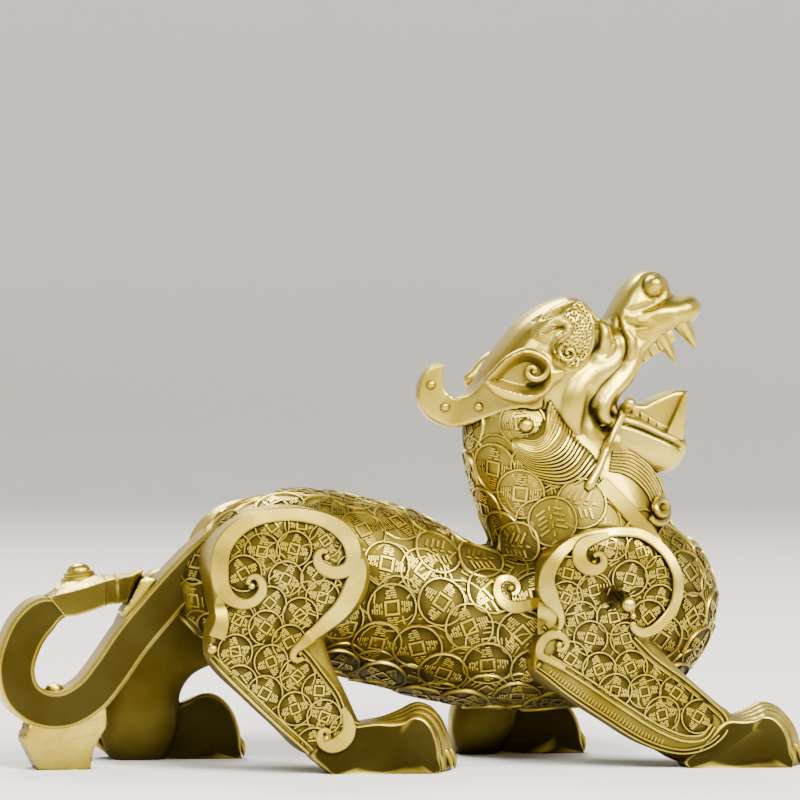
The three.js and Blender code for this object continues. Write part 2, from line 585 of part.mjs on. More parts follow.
// The casting, cut flat where it stands and set over the middle of its own outline.
function casting() {
  const pieces = [trunk(0), neck(0), head(), tail()];
  for (const side of sides) {
    const far = side > 0;
    pieces.push(thigh(side, 0), shoulder(side, 0), shank(side, 0), forearm(side, 0));
    pieces.push(paw(HIND_PAW, [-12, 10], side, far ? HIND_STRIDE : 0));
    pieces.push(paw(FORE_PAW, [130, 9], side, far ? FORE_STRIDE : 0));
    const thighBack = far ? THIGH_SETBACK : 0;
    const thighBands = THIGH_BANDS.map((rows) => scroll(shift(rows, thighBack)));
    const shoulderBands = SHOULDER_BANDS.slice(0, far ? 1 : SHOULDER_BANDS.length).map(scroll);
    pieces.push(raise(thigh(side, BAND_RELIEF), thighBands, side));
    pieces.push(raise(shoulder(side, BAND_RELIEF), shoulderBands, side));
    pieces.push(raise(neck(BAND_RELIEF), [band(CHEST_BAND, BAND_WIDTH, 2)], side));
    pieces.push(beard(side));
    pieces.push(...coins(trunk(0), far ? FAR_FLANK_COINS : FLANK_COINS, side, COIN_DIAMETER));
    if (!far) {
      const rim = BAND_RELIEF * 0.6;
      pieces.push(raise(forearm(side, rim), FOREARM_BANDS.map(limbRim), side));
      pieces.push(raise(shank(side, rim), SHANK_BANDS.map(limbRim), side));
      pieces.push(...coins(trunk(0), CHEST_COINS, side, SMALL_COIN_DIAMETER));
      pieces.push(...coins(neck(0), NECK_COINS, side, COIN_DIAMETER));
      pieces.push(...coins(thigh(side, 0), THIGH_COINS, side, SMALL_COIN_DIAMETER));
      pieces.push(...coins(shoulder(side, 0), SHOULDER_COINS, side, SMALL_COIN_DIAMETER));
      pieces.push(...coins(forearm(side, 0), FOREARM_COINS, side, SMALL_COIN_DIAMETER));
      pieces.push(...coins(shank(side, 0), SHANK_COINS, side, SMALL_COIN_DIAMETER));
    }
  }
  const ground = new THREE.BoxGeometry(LENGTH * 2, LENGTH, LENGTH).translate(0, 0, -LENGTH / 2);
  const body = join(pieces).subtract(solidOfGeometry(ground));
  const { min, max } = body.boundingBox();
  return body.translate([-(min[0] + max[0]) / 2, -(min[1] + max[1]) / 2, 0]);
}

function meshOf(body, name) {
  const { vertProperties, triVerts } = body.getMesh();
  const geometry = new THREE.BufferGeometry();
  geometry.setAttribute('position', new THREE.Float32BufferAttribute(vertProperties, 3));
  geometry.setIndex([...triVerts]);
  geometry.computeVertexNormals();
  const mesh = new THREE.Mesh(geometry, new THREE.MeshStandardMaterial(BRASS));
  mesh.name = name;
  return mesh;
}

const pixiu = new THREE.Group();
pixiu.add(meshOf(casting(), 'pixiu_casting'));
export default pixiu;
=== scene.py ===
# Pixiu figure in cast brass: the looks of the casting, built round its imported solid. Metres, +Z up.
import math
import random

import bmesh
import bpy
import numpy as np
from mathutils import Matrix, Vector
from mathutils.bvhtree import BVHTree


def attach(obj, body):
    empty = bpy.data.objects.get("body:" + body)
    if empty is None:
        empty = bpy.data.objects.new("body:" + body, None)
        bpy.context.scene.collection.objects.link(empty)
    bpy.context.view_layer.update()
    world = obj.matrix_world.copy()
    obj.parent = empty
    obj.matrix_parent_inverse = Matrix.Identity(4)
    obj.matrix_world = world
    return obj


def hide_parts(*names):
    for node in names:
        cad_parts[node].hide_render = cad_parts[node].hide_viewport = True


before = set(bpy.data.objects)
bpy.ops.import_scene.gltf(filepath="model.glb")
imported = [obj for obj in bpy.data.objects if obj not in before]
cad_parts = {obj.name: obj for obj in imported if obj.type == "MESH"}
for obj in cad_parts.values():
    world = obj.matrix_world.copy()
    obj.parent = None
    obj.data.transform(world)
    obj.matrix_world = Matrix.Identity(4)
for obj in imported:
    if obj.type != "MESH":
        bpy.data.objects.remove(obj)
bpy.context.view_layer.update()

NODE = "pixiu_casting"
BODY = "root"

# Outlines and sizes below are in millimetres. X counts from the figure's own zero, which lies a little
# behind the middle of its box.
MM = 0.001
GRID_X = 2.29
SIDES = (-1, 1)                     # the right side, towards the camera, and the left side
HANDS = tuple(zip(SIDES, ("right", "left")))

STANCE = 82                         # between the middles of a left and a right paw
LIMB_WIDTH = 27
PAW_WIDTH = 26
CHEST_WIDTH = 80
NECK_WIDTH = 50
SKULL_WIDTH = 43
MUZZLE_WIDTH = 27
JAW_WIDTH = 29

BODY_VOXEL = 1.25                   # cell of the grid on which the cast forms are run together
HEAD_VOXEL = 0.75
BAND_WIDTH = 6.6
BAND_RELIEF = 2.6
RIM_WIDTH = 3.45                    # the double rims along the limbs
BALL_RISE = 2.99                    # of the knobs in the bands' curls
COIN_DIAMETER = 20.5
SMALL_COIN_DIAMETER = 14.5


# Lines and forms

def place(x, y, z):
    """A spot of the figure, from its millimetres to metres."""
    return Vector(((x + GRID_X) * MM, y * MM, z * MM))


def unplace(spot):
    """A spot's millimetres, the other way round."""
    return spot / MM - Vector((GRID_X, 0, 0))


def left_only(value, side):
    """A value that counts on the left side and is nothing on the right."""
    return value if side > 0 else 0


def step_lengths(rows):
    """How long each step from row to row is in the side view."""
    return np.linalg.norm(np.diff(rows[:, :2], axis=0), axis=1)


def smooth_line(rows, count, closed=False):
    """Evenly spaced points on a smooth curve through the rows; every column of a row follows along."""
    rows = np.array(rows, float)
    if closed:
        rows = np.vstack([rows[-1], rows, rows[:2]])
    else:
        rows = np.vstack([2 * rows[0] - rows[1], rows, 2 * rows[-1] - rows[-2]])
    knots = np.concatenate([[0], np.cumsum(step_lengths(rows) ** 0.5 + 1e-6)])
    pieces = []
    for i in range(1, len(rows) - 2):
        before, here, after, beyond = knots[i - 1:i + 3]
        first, start, end, last = rows[i - 1:i + 3]
        slope = (end - start) / (after - here)
        leave = (start - first) / (here - before) - (end - first) / (after - before) + slope
        arrive = slope - (last - start) / (beyond - here) + (last - end) / (beyond - after)
        t = np.linspace(0, 1, 17)[:, None]
        span = after - here
        pieces.append((2 * t ** 3 - 3 * t ** 2 + 1) * start + (t ** 3 - 2 * t ** 2 + t) * span * leave
                      + (3 * t ** 2 - 2 * t ** 3) * end + (t ** 3 - t ** 2) * span * arrive)
    line = np.vstack([p[:-1] for p in pieces] + [pieces[-1][-1:]])
    way = np.concatenate([[0], np.cumsum(step_lengths(line))])
    stops = np.linspace(0, way[-1], count + 1)[:-1] if closed else np.linspace(0, way[-1], count)
    return np.column_stack([np.interp(stops, way, line[:, k]) for k in range(line.shape[1])])


def bulge(value, fullness):
    """A sine or cosine pushed out from a round towards a square."""
    return math.copysign(abs(value) ** (2 / fullness), value)


def deselect():
    if bpy.context.mode != "OBJECT":
        bpy.ops.object.mode_set(mode="OBJECT")
    bpy.ops.object.select_all(action="DESELECT")


def pick(piece):
    """Selects one piece alone."""
    deselect()
    piece.select_set(True)
    bpy.context.view_layer.objects.active = piece


def edit_all():
    """Opens the active piece in edit mode with all of it selected."""
    bpy.ops.object.mode_set(mode="EDIT")
    bpy.ops.mesh.select_all(action="SELECT")


def close_edit():
    """Turns all faces outwards and leaves edit mode."""
    bpy.ops.mesh.select_all(action="SELECT")
    bpy.ops.mesh.normals_make_consistent(inside=False)
    bpy.ops.object.mode_set(mode="OBJECT")


def disc(name, corners):
    """A flat face with the given corners, ready to be extruded."""
    deselect()
    bpy.ops.mesh.primitive_circle_add(vertices=len(corners), radius=MM, fill_type="NGON")
    piece = bpy.context.object
    piece.name = name
    piece.data.vertices.foreach_set("co", np.array(corners, float).ravel())
    return piece


def loft(name, rings):
    """A closed form: a disc on the first ring, extruded from ring to ring."""
    piece = disc(name, rings[0])
    count = len(rings[0])
    edit_all()
    for last, ring in zip(rings, rings[1:]):
        bpy.ops.mesh.extrude_region_move()
        shell = bmesh.from_edit_mesh(piece.data)
        face = next(f for f in shell.faces if f.select)
        corners = list(face.verts)
        first = min(range(count), key=lambda k: (corners[k].co - Vector(last[0])).length_squared)
        forward = (corners[(first + 1) % count].co - Vector(last[1])).length_squared
        backward = (corners[first - 1].co - Vector(last[1])).length_squared
        step = 1 if forward <= backward else -1
        for k in range(count):
            corners[(first + step * k) % count].co = ring[k]
    close_edit()
    return piece


def circle(middle, across, up, radius, sides):
    """A ring of spots round a middle, in the plane of two directions."""
    turns = [k / sides * math.tau for k in range(sides)]
    return [middle + (across * math.cos(t) + up * math.sin(t)) * radius * MM for t in turns]


def cushion(name, outline, heart, y, depth, layers=9, fullness=2.6, points=48):
    """A cushioned form: a side outline of [x, z] points, full in the middle and drawn in to both faces."""
    ring = smooth_line(outline, points, closed=True)
    heart = np.array(heart, float)
    rings = []
    for i in range(layers):
        turn = ((i + 0.5) / layers - 0.5) * math.pi
        size = bulge(math.cos(turn), fullness)
        out = bulge(math.sin(turn), fullness)
        rings.append([place(x, y + out * depth, z) for x, z in heart + (ring - heart) * size])
    return loft(name, rings)


def directions(line):
    """Which way a line runs at each of its points, in the side view."""
    ends = zip(np.vstack([line[:1], line[:-1]]), np.vstack([line[1:], line[-1:]]))
    return [Vector((after[0] - before[0], after[1] - before[1])).normalized() for before, after in ends]


def trunk_form(name, rows, width, steps, sides):
    """A trunk: rows of [x, z, half height, half width] along its middle line, with sections square to it."""
    line = smooth_line(rows, steps)
    turns = [(k + 0.5) / sides * math.tau for k in range(sides)]
    rings = []
    for (x, z, high, wide), along in zip(line, directions(line)):
        ring = []
        for turn in turns:
            up = high * math.sin(turn)
            ring.append(place(x - along.y * up, wide * width * math.cos(turn), z + along.x * up))
        rings.append(ring)
    return loft(name, rings)


def strand(name, points, radii, sides):
    """A round lock or rod along [x, y, z] points, with a radius for each point."""
    spots = [place(*p) for p in points]
    rings = []
    across = None
    for i, spot in enumerate(spots):
        along = (spots[min(i + 1, len(spots) - 1)] - spots[max(i - 1, 0)]).normalized()
        if across is None:
            across = along.orthogonal().normalized()
        across = (across - along * across.dot(along)).normalized()
        rings.append(circle(spot, across, along.cross(across), radii[i], sides))
    return loft(name, rings)


def apply_modifier(piece, kind, **settings):
    pick(piece)
    modifier = piece.modifiers.new(kind.lower(), kind)
    for key, value in settings.items():
        setattr(modifier, key, value)
    bpy.ops.object.modifier_apply(modifier=modifier.name)


def join(name, pieces):
    """Several pieces made one, with a name of its own."""
    pick(pieces[0])
    for piece in pieces:
        piece.select_set(True)
    if len(pieces) > 1:
        bpy.ops.object.join()
    pieces[0].name = name
    return pieces[0]


def remesh(piece, voxel):
    """Gives a piece one even skin, on a grid of cells of a given size."""
    apply_modifier(piece, "REMESH", mode="VOXEL", voxel_size=voxel * MM)


def run_together(name, pieces, voxel, smoothing):
    """Forms run into one cast skin, with soft hollows where they meet."""
    piece = join(name, pieces)
    remesh(piece, voxel)
    apply_modifier(piece, "SMOOTH", factor=0.5, iterations=smoothing)
    return piece


def ball(name, x, y, z, radii):
    """An egg shape with its own radius along each axis."""
    deselect()
    bpy.ops.mesh.primitive_uv_sphere_add(segments=24, ring_count=14, radius=MM, location=place(x, y, z))
    piece = bpy.context.object
    piece.name = name
    edit_all()
    bpy.ops.transform.resize(value=radii)
    bpy.ops.object.mode_set(mode="OBJECT")
    bpy.ops.object.transform_apply(location=True, rotation=True, scale=True)
    return piece


def distances(spots, line):
    """How far each [x, z] spot is from a line, and how far along it the nearest point is, from 0 to 1."""
    best = np.full(len(spots), 1e9)
    along = np.zeros(len(spots))
    for i, (start, end) in enumerate(zip(line, line[1:])):
        way = end - start
        share = np.clip(((spots - start) @ way) / max(way @ way, 1e-9), 0, 1)
        gap = np.linalg.norm(spots - start - share[:, None] * way, axis=1)
        closer = gap < best
        best[closer] = gap[closer]
        along[closer] = (i + share[closer]) / (len(line) - 1)
    return best, along


def inside(spots, outline):
    """Which [x, z] spots lie inside a closed outline."""
    held = np.zeros(len(spots), bool)
    for start, end in zip(outline, np.roll(outline, -1, axis=0)):
        crosses = (start[1] > spots[:, 1]) != (end[1] > spots[:, 1])
        rise = end[1] - start[1] if end[1] != start[1] else 1e-9
        held ^= crosses & (spots[:, 0] < start[0] + (spots[:, 1] - start[1]) * (end[0] - start[0]) / rise)
    return held


def spots_of(piece):
    return np.array([vertex.co for vertex in piece.data.vertices])


def normals_of(piece):
    return np.array([vertex.normal for vertex in piece.data.vertices])


def side_view(spots):
    """The [x, z] millimetres of some spots."""
    return spots[:, [0, 2]] / MM - np.array([GRID_X, 0])


def mark_patina_and_shade(piece, shares):
    """Marks how dark each point of a piece is made, from 0 to 1: the oxide in its hollows, and painted shade on
    some of its sides.
    """
    if "patina_and_painted_shade" not in piece.data.attributes:
        piece.data.attributes.new("patina_and_painted_shade", "FLOAT", "POINT")
    piece.data.attributes["patina_and_painted_shade"].data.foreach_set("value", np.asarray(shares, float))


def patina_and_shade_of(piece):
    """How dark each point is marked so far, by oxide in hollows and by painted shade."""
    marks = np.zeros(len(piece.data.vertices))
    if "patina_and_painted_shade" in piece.data.attributes:
        piece.data.attributes["patina_and_painted_shade"].data.foreach_get("value", marks)
    return marks


def carve(piece, side, grooves, hollows):
    """Works lines and hollows, drawn in the side view, into one side of a form.

    A groove is ([x, z, share] rows, width, depth), a ridge has a depth below zero, and a hollow is
    ([x, z] outline, width of its wall, depth)."""
    spots = spots_of(piece)
    normals = normals_of(piece)
    flat = side_view(spots)
    facing = np.clip((normals[:, 1] * side - 0.1) / 0.4, 0, 1) * (spots[:, 1] * side > 0)
    sink = np.zeros(len(spots))
    darkening = patina_and_shade_of(piece)
    for rows, width, depth in grooves:
        line = smooth_line(rows, max(12, len(rows) * 8))
        gap, along = distances(flat, line[:, :2])
        share = np.interp(along, np.linspace(0, 1, len(line)), line[:, 2])
        half = np.maximum(width * np.sqrt(share) / 2, 0.2)
        fall = share * np.exp(-(gap / half) ** 2) * (gap < half * 3)
        sink += depth * fall
        if depth > 0:
            darkening = np.maximum(darkening, facing * fall * min(1, 1.6 * depth / width))
    for outline, wall, depth in hollows:
        ring = smooth_line(outline, 60, closed=True)
        gap, _ = distances(flat, np.vstack([ring, ring[:1]]))
        fall = np.where(inside(flat, ring), np.clip(gap / wall, 0, 1), 0) ** 0.7
        sink += depth * fall
        darkening = np.maximum(darkening, 0.5 * facing * fall)
    spots -= normals * (facing * sink)[:, None] * MM
    mark_patina_and_shade(piece, darkening)
    piece.data.vertices.foreach_set("co", spots.ravel())
    piece.data.update()


def shade_upright_sides(piece, share, upright=0.9):
    """Darkens the plain upright sides of a piece as painted shade, and leaves its edges."""
    mark_patina_and_shade(piece, share * np.clip((np.abs(normals_of(piece)[:, 1]) - upright) / 0.08, 0, 1))


def rub_and_shade_under(piece):
    """Thins the marks towards the neck, where hands rub, and lays painted shade over what faces the ground low
    down.
    """
    heights = spots_of(piece)[:, 2] / MM
    rubbed = np.interp(heights, [80, 112], [1, 0.5])
    # Painted shade: faces turned to the ground are darkened, more the lower they are, up to 75 mm.
    under = np.clip((-normals_of(piece)[:, 2] - 0.15) / 0.45, 0, 1) * np.interp(heights, [50, 75], [0.86, 0])
    mark_patina_and_shade(piece, np.maximum(patina_and_shade_of(piece) * rubbed, under))


def surface_of(*pieces):
    """One surface to lay carving on, made of several pieces."""
    points, faces = [], []
    for piece in pieces:
        first = len(points)
        points += [v.co.copy() for v in piece.data.vertices]
        faces += [tuple(first + k for k in p.vertices) for p in piece.data.polygons]
    return BVHTree.FromPolygons(points, faces)


# The main forms, as side outlines

TRUNK = [
    [-90, 77, 8, 9], [-82, 74.5, 19, 20], [-72, 73.5, 27, 29], [-58, 73.5, 33, 35], [-42, 73, 36, 37],
    [-22, 71, 35.5, 36], [-2, 65, 34.5, 35], [16, 57.5, 32.5, 35.5], [34, 54, 32, 37], [54, 55, 34, 40],
    [74, 58.5, 36.5, 41], [94, 61.5, 37, 39], [110, 63.5, 32, 33], [121, 64.5, 22.5, 24],
    [127.5, 64.5, 11, 12],
]
NECK = [
    [78, 72, 36, 36], [74, 91, 35.5, 34], [69, 104, 36, 30], [60, 116, 32, 27], [52, 128, 27, 25],
    [47, 140, 21, 21], [45, 149, 13, 14],
]
THIGH = [
    [-83, 72], [-84, 81], [-82, 88], [-76, 95], [-67, 101], [-57, 104], [-45, 104], [-35, 101], [-29, 95],
    [-22, 87], [-19.5, 78], [-22, 68], [-28, 60.5], [-36, 55], [-44, 50], [-56, 48], [-70, 50], [-80, 60],
]
SHANK_PANEL = [
    [-84.6, 50], [-82.6, 42.6], [-68.8, 28.7], [-56.7, 17.3], [-46, 7.6], [-37, 6.8], [-29.2, 10.6],
    [-27, 18.6], [-30.4, 27], [-34, 33.6], [-40, 41.6], [-45, 48], [-48, 57], [-56, 70], [-72, 72],
    [-82, 62],
]
SHANK = [
    [-85, 52], [-71, 36], [-56, 23], [-43, 11], [-35, 0], [-24, -3], [-20, 10], [-25, 22], [-30, 33],
    [-35, 43], [-39, 56], [-44, 70], [-56, 77], [-71, 74], [-82, 64],
]
HIND_PAW = [
    [-45, 8], [-39, 13.5], [-31, 18], [-24, 19.6], [-14, 21.2], [-7, 23.6], [0, 26.6], [5.4, 25.4],
    [10.4, 20.4], [13.6, 13], [14.6, 5], [13, -3], [-33, -3], [-38, 1.2],
]
SHOULDER = [
    [48.5, 60], [47.5, 70], [48.5, 77], [52, 84], [60, 89.5], [69, 94], [79, 94.5], [87, 92], [94, 87],
    [100, 81], [104, 73], [103, 65], [98, 57], [90, 51], [78, 48], [64, 48], [55, 52],
]
FOREARM = [
    [51, 53], [48, 44], [53, 35], [69, 24], [84, 14], [95, 7], [104, 2], [116, 1], [127, 6], [128, 19],
    [121, 25], [105, 39], [92, 52], [80, 61], [62, 62],
]
FOREARM_PANEL = [
    [83.6, 53.6], [92.8, 45], [106.5, 34.8], [117.2, 26], [123.2, 19.4], [123.6, 14.4], [118, 8.2],
    [109.6, 5.8], [101.6, 5.2], [89.6, 8.9], [73.6, 18.6], [57.6, 28.8], [45, 38], [44.2, 46], [48, 53],
    [58, 59], [72, 60],
]
FORE_PAW = [
    [105, 2.4], [110, 7], [116, 13.5], [121, 18.5], [128, 20], [134, 22], [140, 24.6], [146, 23.6],
    [151.5, 19], [155, 13], [156.6, 5], [156, -3], [114, -3],
]
FAR_SHANK = [
    [-96, 76], [-108, 60], [-115, 42], [-118, 22], [-115, 4], [-106, -3], [-92, -2], [-85, 12], [-84, 26],
    [-79, 34], [-68, 40], [-60, 56], [-72, 76],
]
FAR_FOREARM = [
    [27, 10], [30, 24], [38, 38], [44, 52], [56, 64], [76, 68], [88, 60], [80, 46], [66, 34], [56, 22],
    [52, 8], [44, -2], [32, -2],
]
THIGH_SETBACK = 6                   # how far further back the left thigh stands

# Thigh and shoulder: outline, the heart it is drawn in to, and half its depth as a share of the stance.
HAUNCHES = {
    "thigh": (THIGH, (-53, 76), 0.31, THIGH_SETBACK),
    "shoulder": (SHOULDER, (77, 71), 0.29, 0),
}
HAUNCH_REACH = 0.6                  # where their outer faces stand, as a share of the stance
# Shank and forearm: outline and heart of the right one, and of the left one, which stands further back.
LIMBS = {
    "shank": ((SHANK, (-55, 42)), (FAR_SHANK, (-95, 34))),
    "forearm": ((FOREARM, (86, 32)), (FAR_FOREARM, (54, 36))),
}
LIMB_INSET = 5                      # how far a limb's middle lies inside its paw's
LIMB_FILL = 0.42                    # half a limb's thickness, as a share of its full width
# The flat slabs on the right limbs that carry their coins.
PANELS = {"shank_panel": (SHANK_PANEL, (-56, 36)), "forearm_panel": (FOREARM_PANEL, (82, 34))}
PANEL_INSET = 4
PANEL_DRAFT = 0.6                   # how much thinner than the limb a slab is on each side
# Paws: outline, heart, and how far further back the left one stands.
PAWS = {"hind_paw": (HIND_PAW, (-12, 10), -74), "fore_paw": (FORE_PAW, (130, 9), -75)}


def shifted(rows, dx):
    return [[row[0] + dx, *row[1:]] for row in rows]


def trunk(name):
    return trunk_form(name, TRUNK, CHEST_WIDTH / 82, 40, 56)


def neck(name):
    return trunk_form(name, NECK, NECK_WIDTH / 54, 18, 48)


def haunch(name, kind, side, spread=1.0, fullness=7):
    """A thigh or shoulder, or the same form reaching out beyond its own edge."""
    outline, heart, share, setback = HAUNCHES[kind]
    back = left_only(setback, side)
    heart = np.array(heart, float) + (back, 0)
    outline = heart + (np.array(shifted(outline, back)) - heart) * spread
    return cushion(name, outline, heart, side * STANCE * (HAUNCH_REACH - share), STANCE * share,
                   layers=17, fullness=fullness, points=64)


def limb(kind, side):
    """A shank or forearm."""
    near, far = LIMBS[kind]
    outline, heart = far if side > 0 else near
    return cushion(kind, outline, heart, side * (STANCE / 2 - LIMB_INSET), LIMB_WIDTH * LIMB_FILL,
                   layers=13, fullness=3.4, points=56)


TOE_COUNT = 4
TOE_REACHES = [0.67, 0.85, 0.96, 1.0]       # shares of the paw's length, from the outer toe inwards
TOE_HEIGHTS = [0.78, 0.88, 0.95, 1.0]
TOE_GROOVE = 1.9                    # how deep the toes are parted
TOE_LENGTH = 34
PAW_WAIST = 0.64                    # how broad the paw is at its heel, as a share of its full width
PAW_LENGTH = 50
FLANK_START = 0.84                  # from where on the paw's flank rounds in, as a share of half its width
FLANK_SINK = 1.6
FLANK_CAPS = (0.98, 0.92, 0.6)      # sizes of the last rings of the flank, towards its middle
CORE_INSET = 1.2                    # how far the paw of the body's own skin stays under the fine one
CORE_WIDTH = 0.88
CLAW = [[-3.4, 8.4, 1.9], [-1.2, 7.6, 1.8], [0.5, 5.4, 1.5], [1.1, 2.6, 0.9], [1.1, 0.7, 0.3]]


def toe_free(x, front):
    """How free of the paw the toes are at a place along it, from 0 to 1."""
    return np.clip((x - (front - TOE_LENGTH)) / (TOE_LENGTH * 0.4), 0, 1)


def paw_spread(x, front):
    """How wide the paw is at a place along it, as a share of its full width."""
    return PAW_WAIST + (1 - PAW_WAIST) * np.clip((x - (front - PAW_LENGTH)) / (PAW_LENGTH * 0.9), 0, 1)


def toe_groove(toe):
    """How deep in a groove between two toes a place across the paw is, from 0 to 1."""
    return (1 - np.abs(np.sin(toe * math.pi))) ** 2.2 * ((toe > 0.2) & (toe < TOE_COUNT - 0.2))


def paw(kind, side, fine):
    """A paw with four toes, each longer and higher than the one outside it, or its core in the skin."""
    outline, heart, stride = PAWS[kind]
    back = left_only(stride, side)
    ring = smooth_line(outline, 84 if fine else 40, closed=True)
    front = ring[:, 0].max()
    free = toe_free(ring[:, 0], front)
    spread = paw_spread(ring[:, 0], front)
    upper = np.clip(ring[:, 1] / 5, 0, 1)
    centres = np.arange(TOE_COUNT) + 0.5
    arms = ring - np.array(heart, float)
    steps = 56 if fine else 12
    rings = []
    for i in range(steps + 1):
        share = i / steps
        toe = share * TOE_COUNT
        reach = np.interp(toe, centres, TOE_REACHES)
        height = np.interp(toe, centres, TOE_HEIGHTS)
        flank = max(0.0, abs(share - 0.5) * 2 - FLANK_START) / (1 - FLANK_START)
        sink = (TOE_GROOVE * toe_groove(toe) * free + FLANK_SINK * flank ** 2) * upper
        sink = sink + (0 if fine else CORE_INSET)
        size = np.column_stack([1 - (1 - reach) * free * (arms[:, 0] > 0), 1 - (1 - height) * free])
        spots = heart + arms * size - arms / np.linalg.norm(arms, axis=1)[:, None] * sink[:, None]
        wide = side * (0.5 - share) * PAW_WIDTH * (1 if fine else CORE_WIDTH) * spread
        shrinks = [1, *FLANK_CAPS] if i in (0, steps) else [1]
        for shrink in reversed(shrinks) if i == 0 else shrinks:
            rings.append([place(x + back, side * STANCE / 2 + y, max(z, 0))
                          for (x, z), y in zip(heart + (spots - heart) * shrink, wide)])
    whole = loft(kind, rings)
    if fine:
        spots = spots_of(whole) / MM
        along = spots[:, 0] - GRID_X - back
        across = (spots[:, 1] * side - STANCE / 2) / (PAW_WIDTH * paw_spread(along, front))
        groove = np.clip(toe_groove((0.5 - across) * TOE_COUNT) * 1.5, 0, 1) * toe_free(along, front)
        # Dark oxide in the grooves between the toes, and painted shade on the paw's upright flanks.
        flank = np.clip((np.abs(normals_of(whole)[:, 1]) - 0.9) / 0.07, 0, 1)
        mark_patina_and_shade(whole, np.maximum(groove, flank))
    return whole


def claws(kind, side):
    """A claw on each toe of a paw."""
    outline, heart, stride = PAWS[kind]
    front = max(x for x, _ in outline)
    pieces = []
    for toe, reach in enumerate(TOE_REACHES):
        y = side * (STANCE / 2 + (0.5 - (toe + 0.5) / TOE_COUNT) * PAW_WIDTH)
        tip = heart[0] + (front - heart[0]) * reach + left_only(stride, side)
        pieces.append(strand("claw", [[tip + x, y, z] for x, z, _ in CLAW],
                             [radius for *_, radius in CLAW], 10))
    return pieces


def paws(side):
    """The two fine paws of a side with their claws."""
    pieces = [paw(kind, side, True) for kind in PAWS]
    for kind in PAWS:
        pieces += claws(kind, side)
    return pieces


RIBBON = [
    [-62, 95, 0.9], [-70, 91, 0.95], [-81, 82, 1], [-90.5, 72.5, 1], [-100, 62, 1], [-110, 50, 1],
    [-118, 38.5, 1], [-126, 29, 1], [-136, 23.6, 1], [-146, 24.3, 1], [-153.2, 30, 1], [-155.6, 39, 1],
    [-153.8, 48, 1], [-149.3, 56.6, 1], [-143.4, 61.8, 0.9], [-137, 63.8, 0.5], [-130, 65.4, 0.3],
]
RIBBON_FACE = 15
RIBBON_DEPTH = 20
RIBBON_BEVEL = 1.1
# Sections of the tuft: x above, x below, the heights of its lower edge, upper edge and ridge, and its half
# widths below and at the upper edge.
TUFT = [
    [-142.4, -136, 60.4, 68.0, 68.6, 10.3, 10.4], [-138.6, -132, 60.7, 69.2, 71.8, 10.5, 11],
    [-134, -128.4, 61.6, 70.2, 74.0, 10, 11.8], [-128, -125, 62.7, 71.8, 75.6, 9.6, 12.2],
    [-120.6, -120.2, 64.4, 74.2, 76.4, 9.2, 12], [-119.6, -119.2, 64.6, 74.4, 76.5, 6.6, 10.6],
    [-116.2, -115.8, 65.1, 75.0, 76.5, 6.6, 10.2], [-115.0, -114.4, 65.4, 75.2, 76.6, 8.8, 11],
    [-109, -111.2, 65.8, 76.2, 77.2, 6.8, 8.6], [-105.2, -108.2, 68.6, 77.8, 78.6, 3.6, 4.6],
    [-103.9, -105.4, 72.4, 78.6, 79, 2.2, 2.8],
]
# Rings of the shell on the tuft, [radius, height], round an axis leaning back.
SHELL = [
    [7.6, -2.5], [7.7, 0.4], [7.1, 1.3], [6.2, 1.5], [6.3, 2.4], [5.6, 3.2], [4.7, 3.4], [4.6, 4.3],
    [3.8, 5.4], [2.3, 6.2], [0.6, 6.6],
]
SHELL_SPOT = [-128.4, 5, 74.2]
SHELL_LEAN = 0.12
WEB = [[-113.4, 61.8], [-109.5, 67], [-105.8, 74.5], [-103.5, 76], [-99, 74.5], [-104, 64], [-110.5, 57.6]]
HOLE_BOSS = [[3.6, -1.5], [3.6, 0.6], [3.1, 1.5], [2.0, 2.1], [0.6, 2.3]]
HOLE_BOSS_SPOT = [-139.2, 0, 31.2]
GROUND_BLOCK = [
    [-150, 19], [-153, 12], [-146, -2], [-126, -2], [-125, 7], [-119, 18], [-120, 26], [-140, 28],
]


def ribbon_bar(name, rows, face, depth, steps):
    """A square bar bent along a line in the side view, with narrow bevels along its four edges."""
    line = smooth_line(rows, steps)
    bevel = RIBBON_BEVEL
    rings = []
    for (x, z, share), along in zip(line, directions(line)):
        half, deep = face * share / 2, depth / 2
        corners = [(half, deep - bevel), (half - bevel, deep), (half - 1.7 * bevel, deep),
                   (-half + 1.7 * bevel, deep), (-half + bevel, deep), (-half, deep - bevel)]
        corners += [(-a, -b) for a, b in corners]
        rings.append([place(x - along.y * a, b, z + along.x * a) for a, b in corners])
    return loft(name, rings)


def block(name, outline, y, thickness, bevel):
    """A flat-faced piece standing in the side view, with its edges bevelled."""
    piece = disc(name, [place(x, y - thickness / 2, z) for x, z in outline])
    edit_all()
    bpy.ops.mesh.extrude_region_move(TRANSFORM_OT_translate={"value": (0, thickness * MM, 0)})
    close_edit()
    if bevel:
        apply_modifier(piece, "BEVEL", width=bevel * MM, segments=2, limit_method="ANGLE",
                       angle_limit=math.radians(35))
    return piece


def rough_block(name, outline, thickness, bevel, cell, depth, seed):
    """A block with the pitted skin of an unworked casting."""
    piece = block(name, outline, 0, thickness, bevel)
    apply_modifier(piece, "TRIANGULATE")
    remesh(piece, cell)
    roughen(piece, depth, seed)
    return piece


def stack(name, middle, lean, rows):
    """A round form standing on a spot: [radius, height] rings round a leaning axis."""
    up = Vector((-lean, 0, 1)).normalized()
    across = Vector((up.z, 0, -up.x))
    return loft(name, [circle(place(*middle) + up * height * MM, across, Vector((0, 1, 0)), radius, 28)
                       for radius, height in rows])


def roughen(piece, depth, seed, upward=-1):
    """Pits the skin of a piece, or only those faces of it that look upward enough."""
    rng = random.Random(seed)
    normals = [vertex.normal.copy() for vertex in piece.data.vertices]
    for vertex, normal in zip(piece.data.vertices, normals):
        if normal.z > upward:
            vertex.co += normal * rng.uniform(-depth, depth) * MM


